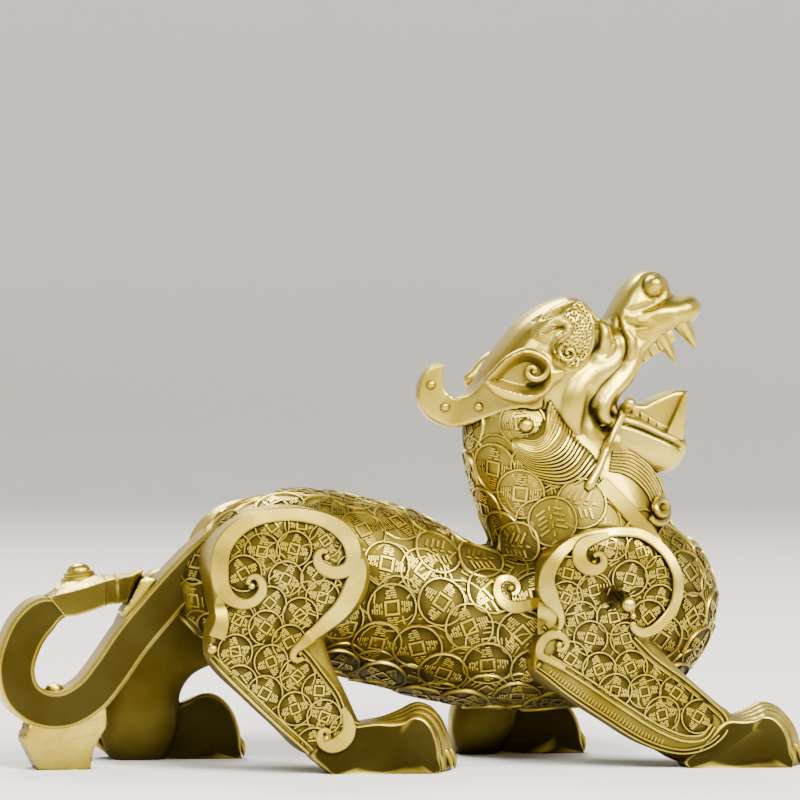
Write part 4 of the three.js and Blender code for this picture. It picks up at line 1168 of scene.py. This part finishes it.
# Folds of the head: rows of the left one, the sides of its section, and its steps.
FOLDS = {
    "cheek": (CHEEK, 20, 40),
    "cheek_fold": (CHEEK_FOLD, 16, 40),
    "lip_band": (LIP_BAND, 14, 40),
    "mouth_hook": (MOUTH_HOOK, 12, 28),
    "lid": (LID, 12, 28),
}
# Lines worked into the head, with their widths and depths; the brow's edge is a ridge.
HEAD_GROOVES = [
    (LIP_GROOVE, 1.7, 1.8), (OUTER_GROOVE, 1.1, 0.5), (LIP_CREASE, 1.6, 0.8), (CHEEK_CHANNEL, 4.4, 2),
    (JAW_LINES[0], 1.1, 0.9), (JAW_LINES[1], 1.5, 1.3), (BROW_EDGE, 1.5, -1.3), (NOSE_GROOVE, 1.6, 1.2),
    (EYE_GROOVE, 2.6, 1.8), (EYE_RIM, 1.0, 0.9),
]
# Hollows in the head, with the widths of their walls and their depths.
HEAD_HOLLOWS = [
    (LEAF_HOLLOW, 1.8, 0.8), (LIP_DENT, 3, 0.4), (EAR_HOLLOW, 2.4, 3.4), (BROW_LEAVES[0], 1, 1.8),
    (BROW_LEAVES[1], 1, 1.8),
]


def roll(name, rows, side, sides, steps):
    """A round fold of the head along [x, y, z, radius] rows, given for the left side."""
    line = smooth_line([[x, z, y, radius] for x, y, z, radius in rows], steps)
    return strand(name, [[x, side * y, z] for x, z, y, _ in line], line[:, 3], sides)


def horn():
    """One curled plate, as broad as the nape at its root and thin at its tip."""
    plate = block("horn", smooth_line(HORN, 90, closed=True), 0, 2, 0)
    tip = HORN_STUDS[0][0]
    root = max(x for x, _ in HORN)
    for vertex in plate.data.vertices:
        share = min(max((unplace(vertex.co).x - tip) / (root - tip), 0), 1)
        grown = share * share * (3 - 2 * share)
        thick = HORN_TIP_THICKNESS + (HORN_ROOT_THICKNESS - HORN_TIP_THICKNESS) * grown
        vertex.co.y *= thick / 2
    return plate


def head():
    """The head without its ears, teeth and rods."""
    parts = [
        cushion("skull", SKULL, [60, 157], 0, SKULL_WIDTH / 2, layers=15, fullness=2.6, points=64),
        cushion("muzzle", MUZZLE, [93, 172], 0, MUZZLE_WIDTH / 2, layers=13, fullness=3, points=84),
        cushion("lip", LIP, [106, 178], 0, MUZZLE_WIDTH / 2 + 3, layers=13, fullness=2.6, points=48),
        cushion("jaw", JAW, [95, 129], 0, JAW_WIDTH / 2, layers=13, fullness=3.6, points=56),
        block("flap", FLAP, 0, JAW_WIDTH * 0.6, 1.2),
        horn(),
    ]
    for side in SIDES:
        parts.append(cushion("brow", BROW, [65, 172], side * SKULL_WIDTH * 0.34, SKULL_WIDTH * 0.19, layers=11,
                             fullness=2.2))
        parts += [ball(name, x, side * y, z, radii) for name, ((x, y, z), radii) in ROUNDS.items()]
        parts += [roll(name, rows, side, sides, steps) for name, (rows, sides, steps) in FOLDS.items()]
    piece = run_together("pixiu_head", parts, HEAD_VOXEL, 3)
    for side in SIDES:
        carve(piece, side, HEAD_GROOVES, HEAD_HOLLOWS)
    return piece


def draped_plate(name, outline, support, side, cell, foot, relief):
    """A plate laid on a form over an [x, z] outline; relief gives the rise of each spot from its place and its
    distance to the plate's edge, in millimetres."""
    deselect()
    ring = smooth_line(outline, 90, closed=True)
    low, high = ring.min(axis=0), ring.max(axis=0)
    across, up = round((high[0] - low[0]) / cell), round((high[1] - low[1]) / cell)
    bpy.ops.mesh.primitive_grid_add(x_subdivisions=across, y_subdivisions=up, size=1)
    plate = bpy.context.object
    plate.name = name
    flat = np.empty(len(plate.data.vertices) * 3)
    plate.data.vertices.foreach_get("co", flat)
    flat = (flat.reshape(-1, 3)[:, :2] + 0.5) * (high - low) + low
    held = inside(flat, ring)
    bpy.ops.object.mode_set(mode="EDIT")
    bpy.ops.mesh.select_all(action="DESELECT")
    shell = bmesh.from_edit_mesh(plate.data)
    for vertex, stays in zip(shell.verts, held):
        vertex.select = not stays
    shell.select_flush_mode()
    bpy.ops.mesh.delete(type="VERT")
    bpy.ops.object.mode_set(mode="OBJECT")
    flat = flat[held]
    edge, _ = distances(flat, np.vstack([ring, ring[:1]]))
    rise, darkening = relief(flat, edge)
    for vertex, (x, z), height in zip(plate.data.vertices, flat, rise):
        spot, way_out = drape(support, x, z, side)
        vertex.co = spot + way_out * height * MM
    mark_patina_and_shade(plate, darkening)
    edit_all()
    bpy.ops.mesh.extrude_region_move(TRANSFORM_OT_translate={"value": (0, -side * foot * MM, 0)})
    close_edit()
    return plate


PIT_SPACING = 1.2
PIT_RADIUS = 0.54
PIT_DEPTH = 0.8
PIT_TRIES = 3000


def punched(flat, edge):
    """The rough field of the brow, closely punched with small pits."""
    rng = random.Random(5)
    low, high = flat.min(axis=0), flat.max(axis=0)
    pits = []
    for _ in range(PIT_TRIES):
        spot = np.array([rng.uniform(low[0], high[0]), rng.uniform(low[1], high[1])])
        if all(np.linalg.norm(spot - pit) > PIT_SPACING for pit in pits):
            pits.append(spot)
    depth = np.zeros(len(flat))
    for pit in pits:
        gap = np.linalg.norm(flat - pit, axis=1)
        depth = np.maximum(depth, np.clip((PIT_RADIUS - gap) / 0.4, 0, 1))
    return PIT_DEPTH * (np.clip(edge / 0.8, 0, 1) - depth), depth


def pad(flat, edge):
    """A smooth pad with a rounded edge."""
    return 1.5 * np.clip(edge / 2.2, 0, 1) ** 0.6, np.full(len(flat), 0.95)


def ear(side):
    """A leaf-shaped hollow ear with a curl rolled up in it."""
    leaf = cushion("ear", EAR, [47, 154], 0, EAR_THICKNESS / 2, layers=11, fullness=3.2, points=72)
    leaf = run_together("ear_leaf", [leaf], 0.5, 2)
    carve(leaf, side, [], [(EAR_HOLLOW, 3.4, 5.2), (EAR_PIT, 1.6, 1.4)])
    whole = join("ear", [leaf, roll("curl", EAR_CURL, side, 12, 52)])
    front = place(max(x for x, _ in EAR), 0, 0)
    turn = Matrix.Rotation(side * EAR_TURN, 4, "Z")
    move = Matrix.Translation(place(front.x / MM - GRID_X, side * (SKULL_WIDTH / 2 + EAR_STAND), 0))
    whole.data.transform(move @ turn @ Matrix.Translation(-front))
    return whole


def fang(x, y, z, lean, length, diameter):
    """A pointed tooth, rounded at its sides."""
    across, aside = Vector((1, 0, 0)), Vector((0, FANG_FLATNESS, 0))
    return loft("fang", [circle(place(x + lean * down * length, y, z - down * length), across, aside,
                                size * diameter / 2, 10) for down, size in FANG_STEPS])


FANG_STEPS = [(-0.3, 1), (0, 1), (0.3, 0.84), (0.6, 0.58), (0.85, 0.3), (1, 0.08)]
FANG_FLATNESS = 0.8                 # its thickness from side to side, as a share of its diameter
FANGS = [(113.2, 174.4, 0.64, 8.8, 8.4), (105, 168.6, 0.62, 8.6, 7.4)]
FAR_FANG_SHIFT = (3.6, 2.0)         # the left fangs stand a little further forward, behind the right ones
GUM_INSET = 2.4
SMALL_TEETH = 4
TEETH_START = Vector((97.4, 159.8))
TEETH_ALONG = Vector((0.82, 0.572))
TEETH_RUN = 16.5
TEETH_HEIGHT = 5
TOOTH_GAP = 0.28
JAW_TOOTH = [[106.2, 130.4], [113.4, 145.6], [115.4, 148.9], [115, 144.9], [113.6, 128.4]]
JAW_SMALL_TOOTH = [[-1.3, 0.6], [1.3, -0.5], [1.3, -3.6], [-1.3, -2.6]]
JAW_SMALL_TEETH = [(94.4, 141.4), (97.8, 139.3), (101.2, 137.2), (104.6, 135.1)]


def teeth(side):
    """The upper fangs and small teeth of a side, and the lower tooth with the small ones behind it."""
    gum = side * (MUZZLE_WIDTH / 2 - GUM_INSET)
    ahead, above = left_only(FAR_FANG_SHIFT[0], side), left_only(FAR_FANG_SHIFT[1], side)
    pieces = [fang(x + ahead, gum, z + above, *rest) for x, z, *rest in FANGS]
    inward = Vector((-TEETH_ALONG.y, TEETH_ALONG.x)) * TEETH_HEIGHT
    pitch = TEETH_RUN / SMALL_TEETH
    for k in range(SMALL_TEETH):
        start = TEETH_START + TEETH_ALONG * (k * pitch + TOOTH_GAP / 2)
        end = start + TEETH_ALONG * (pitch - TOOTH_GAP)
        pieces.append(block("small_tooth", [start, end, end + inward, start + inward], gum, 3.6, 0.35))
    pieces.append(block("jaw_tooth", JAW_TOOTH, side * JAW_WIDTH * 0.34, 4.4, 0.6))
    for x, z in JAW_SMALL_TEETH:
        outline = [[x + aside, z + up] for aside, up in JAW_SMALL_TOOTH]
        pieces.append(block("jaw_small_tooth", outline, side * JAW_WIDTH * 0.29, 3.2, 0.2))
    return pieces


ROD = [
    [89.8, 12.8, 145.6, 0.5], [89.7, 13.2, 145.2, 1.5], [89.3, 13.9, 143.6, 2.2], [88.7, 15, 141.6, 2.1],
    [87.4, 15.8, 138.6, 1.6], [83, 17.6, 131, 1.5], [80.2, 18.6, 126.6, 1.6], [79.4, 18.8, 125.2, 1.95],
    [78.6, 19, 123.8, 1.55], [75, 20.4, 117.4, 1.8], [72.6, 21, 113.6, 2.1], [71, 20.6, 111, 2.2],
    [70, 19.2, 109.8, 1.4],
]
ROD_CLEARANCE = 1.6                 # how far the rod's middle stays off the form under it
ROD_KNOB = 2                        # the row on which its knob sits
ROD_KNOB_RADIUS = 2.5


def rod(side, support):
    """The short rod from the corner of the mouth down to the neck, with a knob and a hooked foot."""
    rows = []
    for x, y, z, radius in ROD:
        spot, _ = drape(support, x, z, side)
        rows.append([x, max(y, spot.y * side / MM + ROD_CLEARANCE), z, radius])
    x, y, z, _ = rows[ROD_KNOB]
    knob = ball("rod_head", x, side * y, z, [ROD_KNOB_RADIUS] * 3)
    return join("rod", [roll("rod_stem", rows, side, 12, 40), knob])


BEARD_TOP = [[41.4, 130.6], [45.2, 129.2], [50.6, 129.6], [54, 132.2], [55.4, 137.4], [57.2, 146]]
BEARD_LOW = [[41.2, 125], [44.4, 118.6], [50.8, 113.2], [60, 111], [68, 113.4], [74.6, 120]]
BEARD_FIELD = [
    [40.6, 129.4], [46, 131], [50.5, 133.4], [53.5, 138.4], [56.6, 146], [60.5, 139], [66, 131], [74, 124],
    [76, 117], [68, 112], [60, 110.6], [51, 113.4], [44, 120],
]
GOATEE_TOP = [[82.4, 124.2], [91.6, 123.2], [100.9, 117], [105.8, 108.8], [106.4, 101.4]]
GOATEE_LOW = [[80.3, 117.2], [86.1, 116.2], [92, 112.9], [96.6, 108], [98.8, 103]]
GOATEE = [
    [80, 118], [84, 125], [92, 124], [101, 118.5], [106.3, 113], [108, 106], [108.6, 99], [104, 95.8],
    [98.4, 98], [97, 105.5], [92, 111.5], [86, 115.2],
]
BEARD_STRANDS = 18
GOATEE_STRANDS = 7
STRAND_RADIUS = 0.78
STRAND_STEPS = 26


def comb(name, top, low, count, support, side, wave, rise):
    """Locks side by side, from one edge line to another."""
    upper, lower = smooth_line(top, STRAND_STEPS), smooth_line(low, STRAND_STEPS)
    pitch = np.linalg.norm(upper - lower, axis=1) / (count - 1)
    taper = np.minimum(1, (STRAND_STEPS - np.arange(STRAND_STEPS)) * 0.3)
    radii = np.clip(0.44 * pitch, 0.2, STRAND_RADIUS) * taper
    locks = []
    for k in range(count):
        share = k / (count - 1)
        rows = upper * (1 - share) + lower * share
        spots = []
        for i, (x, z) in enumerate(rows):
            spot, way_out = drape(support, x, z + wave * math.sin(i * 0.55 + share * 2), side)
            spots.append(unplace(spot + way_out * (STRAND_RADIUS * 0.35 + rise) * MM))
        locks.append(strand(name, spots, radii, 6))
    return locks


def spiral(name, x, z, size, turns, support, side, radius, start, rise):
    """A round lock wound up into a coil, tighter and higher towards its middle."""
    spots, radii = [], []
    steps = round(turns * 16)
    for i in range(steps + 1):
        share = i / steps
        angle = start + share * turns * math.tau
        reach = size * (1 - share) ** 0.8 + 0.25
        spot, way_out = drape(support, x + reach * math.cos(angle), z + reach * math.sin(angle), side)
        spots.append(unplace(spot + way_out * (0.4 + rise * share) * MM))
        radii.append(radius * (1 - 0.35 * share))
    return strand(name, spots, radii, 8)


# Brass

def linear(hex_colour):
    channels = [int(hex_colour[i:i + 2], 16) / 255 for i in (1, 3, 5)]
    return [c / 12.92 if c <= 0.04045 else ((c + 0.055) / 1.055) ** 2.4 for c in channels] + [1.0]


# Places of the colour sockets on a Mix node.
MIX_A, MIX_B, MIX_OUT = 6, 7, 2


def add(tree, kind, links=None, values=None, **settings):
    """A node with its settings, the values of its inputs and the outputs that feed them."""
    node = tree.nodes.new(kind)
    for key, value in settings.items():
        setattr(node, key, value)
    for key, value in (values or {}).items():
        node.inputs[key].default_value = value
    for key, output in (links or {}).items():
        tree.links.new(output, node.inputs[key])
    return node


RUB_SIZE = 22                       # patches rubbed more or less by the hand
GRAIN_SIZE = 0.8                    # grain of the mould's sand, coarser than the real one so that it shows


def cast_brass():
    """Cast and hand-rubbed brass: bright where rubbed, nearly black with oxide in fine recesses, and with
    painted shade that turns it olive in broad hollows and dark on plain upright, inner and downward sides.
    """
    material = bpy.data.materials.new("cast_brass")
    material.use_nodes = True
    tree = material.node_tree
    tree.nodes.clear()
    spot = add(tree, "ShaderNodeTexCoord").outputs["Object"]
    cloud = add(tree, "ShaderNodeTexNoise", {"Vector": spot}, {"Scale": 1 / (RUB_SIZE * MM), "Detail": 4.0})
    grain = add(tree, "ShaderNodeTexNoise", {"Vector": spot}, {"Scale": 1 / (GRAIN_SIZE * MM), "Detail": 3.0})
    tone = add(tree, "ShaderNodeMapRange", {"Value": cloud.outputs["Fac"]},
               {"From Min": 0.38, "From Max": 0.62})
    gold = add(tree, "ShaderNodeMix", {"Factor": tone.outputs["Result"]},
               {MIX_A: linear("#B69C30"), MIX_B: linear("#D0BA52")}, data_type="RGBA")
    # Painted shade: a broad occlusion term turns the brass olive in wide hollows, between the limbs and under
    # the body.
    broad = add(tree, "ShaderNodeAmbientOcclusion", values={"Distance": 16 * MM}, samples=8)
    shade = add(tree, "ShaderNodeMapRange", {"Value": broad.outputs["AO"]},
                {"From Min": 0.3, "From Max": 0.95, "To Min": 0.8, "To Max": 0.0})
    broad_shade_colour = add(tree, "ShaderNodeMix", {"Factor": shade.outputs["Result"], MIX_A: gold.outputs[MIX_OUT]},
               {MIX_B: linear("#665A1C")}, data_type="RGBA")
    close = add(tree, "ShaderNodeAmbientOcclusion", values={"Distance": 1.8 * MM}, samples=8)
    cavity = add(tree, "ShaderNodeMapRange", {"Value": close.outputs["AO"]},
                 {"From Min": 0.35, "From Max": 0.85, "To Min": 1.0, "To Max": 0.0})
    # The marks hold the oxide of grooves, pits and coin fields together with painted shade on upright, inner
    # and downward sides; with the fine occlusion of small recesses they darken the brass towards near black.
    marked = add(tree, "ShaderNodeAttribute", attribute_name="patina_and_painted_shade")
    darkening = add(tree, "ShaderNodeMath", {0: marked.outputs["Fac"]}, {1: 0.96}, operation="MULTIPLY")
    patina_and_shade_share = add(tree, "ShaderNodeMath", {0: cavity.outputs["Result"], 1: darkening.outputs["Value"]},
                 operation="MAXIMUM")
    patina_and_shade_colour = add(tree, "ShaderNodeMix", {"Factor": patina_and_shade_share.outputs["Value"], MIX_A: broad_shade_colour.outputs[MIX_OUT]},
               {MIX_B: linear("#1D1706")}, data_type="RGBA")
    rough = add(tree, "ShaderNodeMapRange", {"Value": patina_and_shade_share.outputs["Value"]},
                {"To Min": 0.33, "To Max": 0.62})
    bump = add(tree, "ShaderNodeBump", {"Height": grain.outputs["Fac"]},
               {"Strength": 0.12, "Distance": 0.2 * MM})
    shader = add(tree, "ShaderNodeBsdfPrincipled",
                 {"Base Color": patina_and_shade_colour.outputs[MIX_OUT], "Roughness": rough.outputs["Result"],
                  "Normal": bump.outputs["Normal"]}, {"Metallic": 1.0})
    add(tree, "ShaderNodeOutputMaterial", {"Surface": shader.outputs["BSDF"]})
    return material


def settle(piece, material, angle=40):
    """Gives a finished piece its brass and its shading, smooth up to an angle, and fixes it to the figure."""
    piece.data.materials.clear()
    piece.data.materials.append(material)
    pick(piece)
    bpy.ops.object.shade_smooth_by_angle(angle=math.radians(angle))
    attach(piece, BODY)


# Studio

# The studio is in metres and watts. Its floor turns up into a wall: how much wider each ring is, and higher.
FLOOR_RADIUS = 2.6
FLOOR_RISE = [(1.15, 0.06), (1.1, 0.2), (1.06, 0.4), (1.03, 0.8), (1.0, 2.0)]
# Square lamps: place, size and power.
LAMPS = {
    "key": ((0.35, -1.45, 1.3), 0.8, 104),
    "side": ((1.3, -1.0, 1.1), 0.6, 34),
    "fill": ((-0.9, -1.3, 1.4), 0.5, 26),
    "back": ((-0.2, 1.3, 1.6), 0.8, 56),
}
LAMP_AIM = Vector((0, 0, 0.09))
SKY_STRENGTH = 0.18


def studio():
    """A pale floor that turns up into a wall, four lamps and a faint sky."""
    deselect()
    bpy.ops.mesh.primitive_circle_add(vertices=64, radius=FLOOR_RADIUS, fill_type="NGON")
    floor = bpy.context.object
    floor.name = "studio_floor"
    bpy.ops.object.mode_set(mode="EDIT")
    bpy.ops.mesh.select_all(action="DESELECT")
    bpy.ops.mesh.select_mode(type="EDGE")
    bpy.ops.mesh.select_all(action="SELECT")
    for wide, rise in FLOOR_RISE:
        bpy.ops.mesh.extrude_edges_move(TRANSFORM_OT_translate={"value": (0, 0, rise)})
        bpy.ops.transform.resize(value=(wide, wide, 1))
    bpy.ops.object.mode_set(mode="OBJECT")
    bpy.ops.object.shade_smooth()
    paint = bpy.data.materials.new("matt_pale_paint")
    paint.use_nodes = True
    base = paint.node_tree.nodes["Principled BSDF"]
    base.inputs["Base Color"].default_value = linear("#E6E3DC")
    base.inputs["Roughness"].default_value = 0.9
    floor.data.materials.append(paint)
    for name, (spot, size, power) in LAMPS.items():
        bpy.ops.object.light_add(type="AREA", location=spot)
        lamp = bpy.context.object
        lamp.name = name
        lamp.data.size = size
        lamp.data.energy = power
        lamp.rotation_euler = (LAMP_AIM - Vector(spot)).to_track_quat("-Z", "Y").to_euler()
    world = bpy.data.worlds.new("studio")
    world.use_nodes = True
    sky = world.node_tree.nodes["Background"]
    sky.inputs["Color"].default_value = linear("#E4E6E8")
    sky.inputs["Strength"].default_value = SKY_STRENGTH
    bpy.context.scene.world = world


VIEW_AZIMUTH = math.radians(-11)
VIEW_ELEVATION = math.radians(2.5)
VIEW_DISTANCE = 2.2
VIEW_HEIGHT = 97                    # millimetres from the ground to the spot that is looked at
PHOTO_SIZE = 800                    # pixels each way
PHOTO_ROW = 520                     # the row on which that spot shows
PIXEL = 0.4                         # millimetres across a pixel there
SENSOR = 36


def camera():
    """The photo's own view: a little from behind, and from far off."""
    target = place(0, 0, VIEW_HEIGHT)
    level = math.cos(VIEW_ELEVATION)
    away = Vector((math.sin(VIEW_AZIMUTH) * level, -math.cos(VIEW_AZIMUTH) * level, math.sin(VIEW_ELEVATION)))
    up = Vector((0, 0, 1)) - away * away.z
    aim = target + up.normalized() * (PHOTO_ROW - PHOTO_SIZE / 2) * PIXEL * MM
    bpy.ops.object.camera_add(location=target + away * VIEW_DISTANCE)
    eye = bpy.context.object
    eye.data.sensor_width = SENSOR
    eye.data.lens = SENSOR * VIEW_DISTANCE / (PHOTO_SIZE * PIXEL * MM)
    eye.rotation_euler = (aim - eye.location).to_track_quat("-Z", "Y").to_euler()
    bpy.context.scene.camera = eye


# The figure, put together

camera()
studio()
brass = cast_brass()

casting = body()
stand_flat(casting)
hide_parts(NODE)
carve(casting, -1, [(DENT_RIDGE, 3, -1.6)], [(DENT, 1.8, 4.4)])
skin = surface_of(casting)
torso_model = run_together("torso_model", [trunk("torso"), neck("torso_neck")], 1.6, 8)
torso = surface_of(torso_model)
settle(tail(), brass, 30)

scale = coin_pattern("coin_pattern", scale_strokes())
glyph = coin_pattern("glyph_pattern", glyph_strokes())
worn = coin_pattern("worn_pattern", under_strokes(), 16)
models = [torso_model, scale, glyph, worn]
for side, hand in HANDS:
    settle(join(f"paws_{hand}", paws(side)), brass, 50)
    thigh_model, shoulder_model = [haunch(f"{kind}_model", kind, side, 1.1, 6) for kind in HAUNCHES]
    models += [thigh_model, shoulder_model]
    bands = limb_bands(side, surface_of(thigh_model), surface_of(shoulder_model), skin)
    settle(join(f"bands_{hand}", bands), brass, 30)


def on_torso(spot, _normal=None):
    """Tells whether coins lie at a spot: on trunk and neck, but not on the throat or under the head."""
    x, y, z = spot
    throat = z > 86 and x > 74 + (115 - z) * 1.04
    under_head = z > 127 and x > 50 or z > 139
    if z < 18 or throat or under_head or x < -86:
        return False
    return (skin.find_nearest(place(x, y, z))[0] - place(x, y, z)).length < 2.2 * MM


def torso_coins(rng):
    """The coins that are placed one by one, more of them in between, and plainer ones under them."""
    box = ((-90, -45, 15), (132, 45, 150))
    coins, taken = [], []
    for side in SIDES:
        for places, pattern, lift in ((FLANK_COINS, scale, 0.3), (NECK_COINS, scale, 0.3),
                                      (CHEST_COINS, scale, 0.3), (GLYPH_COINS, glyph, 0.9)):
            laid, middles = side_coins(places, pattern, torso, side, COIN_DIAMETER, rng, lift)
            coins += laid
            taken += middles
    coins += fill_coins(scale, torso, box, on_torso, taken, COIN_DIAMETER, rng, 9000, 0.8, 0.2)
    under = fill_coins(worn, torso, box, on_torso, [], COIN_DIAMETER, rng, 6000, 0.6, -0.6)
    return join("coins_torso", coins), join("coins_torso_under", under)


def limb_field(side):
    """Gives the test of which spots lie in the coin fields of a side's limbs, seen from the side."""
    outlines = [shifted(THIGH_FIELD, left_only(THIGH_SETBACK, side)), SHOULDER_FIELD]
    if side < 0:
        outlines += [SHANK_FIELD, FOREARM_FIELD]
    rings = [smooth_line(outline, 60, closed=True) for outline in outlines]
    dent = smooth_line(DENT, 40, closed=True)

    def held(spots):
        flat = side_view(np.atleast_2d(spots))
        covered = np.any([inside(flat, ring) for ring in rings], axis=0)
        return covered & ~inside(flat, dent) if side < 0 else covered

    return held


def limb_coins(side, field, rng):
    """Coins in the fields of a side's limbs, cut off at the fields' edges, with plainer ones under them."""
    box = ((-90, side * 20, 5), (125, side * 60, 100))
    groups = [shifted(THIGH_COINS, left_only(THIGH_SETBACK, side)), SHOULDER_COINS]
    if side < 0:
        groups += [SHANK_COINS, FOREARM_COINS]
    size = SMALL_COIN_DIAMETER
    coins, taken = [], []
    for places in groups:
        laid, middles = side_coins(places, scale, skin, side, size, rng, 0.3, field)
        coins += laid
        taken += middles

    def on_limb(spot, normal):
        return normal.y * side > 0.4 and field(np.array(spot + Vector((GRID_X, 0, 0))) * MM)[0]

    coins += fill_coins(scale, skin, box, on_limb, taken, size, rng, 2500, 0.74, 0, field)
    coins += fill_coins(worn, skin, box, on_limb, [], size, rng, 2500, 0.6, -0.7, field)
    return coins


def patina_and_shade_on_casting(fields):
    """Darkens the casting: with oxide under the coins, and with painted shade low down on inner, under and
    plain upright sides.
    """
    darkening = np.clip(patina_and_shade_of(casting) * 2.2, 0, 1)
    spots = spots_of(casting)
    normals = normals_of(casting)
    for side in SIDES:
        facing = (normals[:, 1] * side > 0.35) * (spots[:, 1] * side > 0)
        darkening = np.maximum(darkening, 0.9 * fields[side](spots) * facing)
    for k, vertex in enumerate(casting.data.vertices):
        near = torso.find_nearest(vertex.co)[0]
        if on_torso(unplace(vertex.co)) and (near - vertex.co).length < 1.6 * MM:
            darkening[k] = 0.9
    # Painted shade, low down: on the inner sides of the legs, on faces turned downwards and on the plain
    # upright sides.
    low = np.clip((80 - spots[:, 2] / MM) / 16, 0, 1)
    inner = np.clip(-normals[:, 1] * np.sign(spots[:, 1]) / 0.5, 0, 1) * (np.abs(spots[:, 1]) > 6 * MM)
    under = np.clip((-normals[:, 2] - 0.1) / 0.4, 0, 1)
    plain = np.clip((np.abs(normals[:, 1]) - 0.55) / 0.35, 0, 1)
    mark_patina_and_shade(casting, np.maximum(darkening, low * np.maximum(0.86 * np.maximum(inner, under), 0.66 * plain)))
    rub_and_shade_under(casting)


coin_rng = random.Random(3)
for coins in torso_coins(coin_rng):
    rub_and_shade_under(coins)
    settle(coins, brass, 50)
fields = {side: limb_field(side) for side in SIDES}
for side, hand in HANDS:
    settle(join(f"coins_limbs_{hand}", limb_coins(side, fields[side], coin_rng)), brass, 50)
patina_and_shade_on_casting(fields)
settle(casting, brass)

skull = head()
skull_surface = surface_of(skull)
settle(skull, brass)
goatee = run_together("goatee", [cushion("goatee", GOATEE, [97, 112], 0, JAW_WIDTH / 2 - 3)], 0.8, 3)
throat = surface_of(goatee, casting, skull)


def head_details(side):
    """The rod, the punched brow, the beard, the locks and curl of the goatee, and the studs of a side."""
    pad_plate = draped_plate("beard_pad", BEARD_FIELD, throat, side, 0.9, 2, pad)
    details = [rod(side, throat)]
    details.append(draped_plate("punched_brow", BROW_PATCH, skull_surface, side, 0.36, 1.6, punched))
    under_beard = surface_of(pad_plate, casting)
    details += comb("beard", BEARD_TOP, BEARD_LOW, BEARD_STRANDS, under_beard, side, 0.25, 0.2)
    details.append(pad_plate)
    details += comb("goatee_lock", GOATEE_TOP, GOATEE_LOW, GOATEE_STRANDS, throat, side, 0, 0.3)
    details.append(spiral("shell_curl", 101.6, 101, 5.6, 1.6, throat, side, 2.0, 3.6, 4.4))
    details.append(spiral("brow_curl", 64, 163.8, 3.8, 1.3, skull_surface, side, 1.1, 2.2, 1.2))
    details += [boss("horn_stud", x, z, skull_surface, side, 4.0, 1.7) for x, z in HORN_STUDS]
    return details + [boss("neck_egg", 47, 135, skin, side, 6.4, 3.0)]


for side, hand in HANDS:
    settle(ear(side), brass)
    bpy.data.objects["ear"].name = f"ear_{hand}"
    settle(join(f"teeth_{hand}", teeth(side)), brass, 30)
    settle(join(f"head_details_{hand}", head_details(side)), brass, 50)
settle(goatee, brass)
for model in models:
    bpy.data.objects.remove(model)
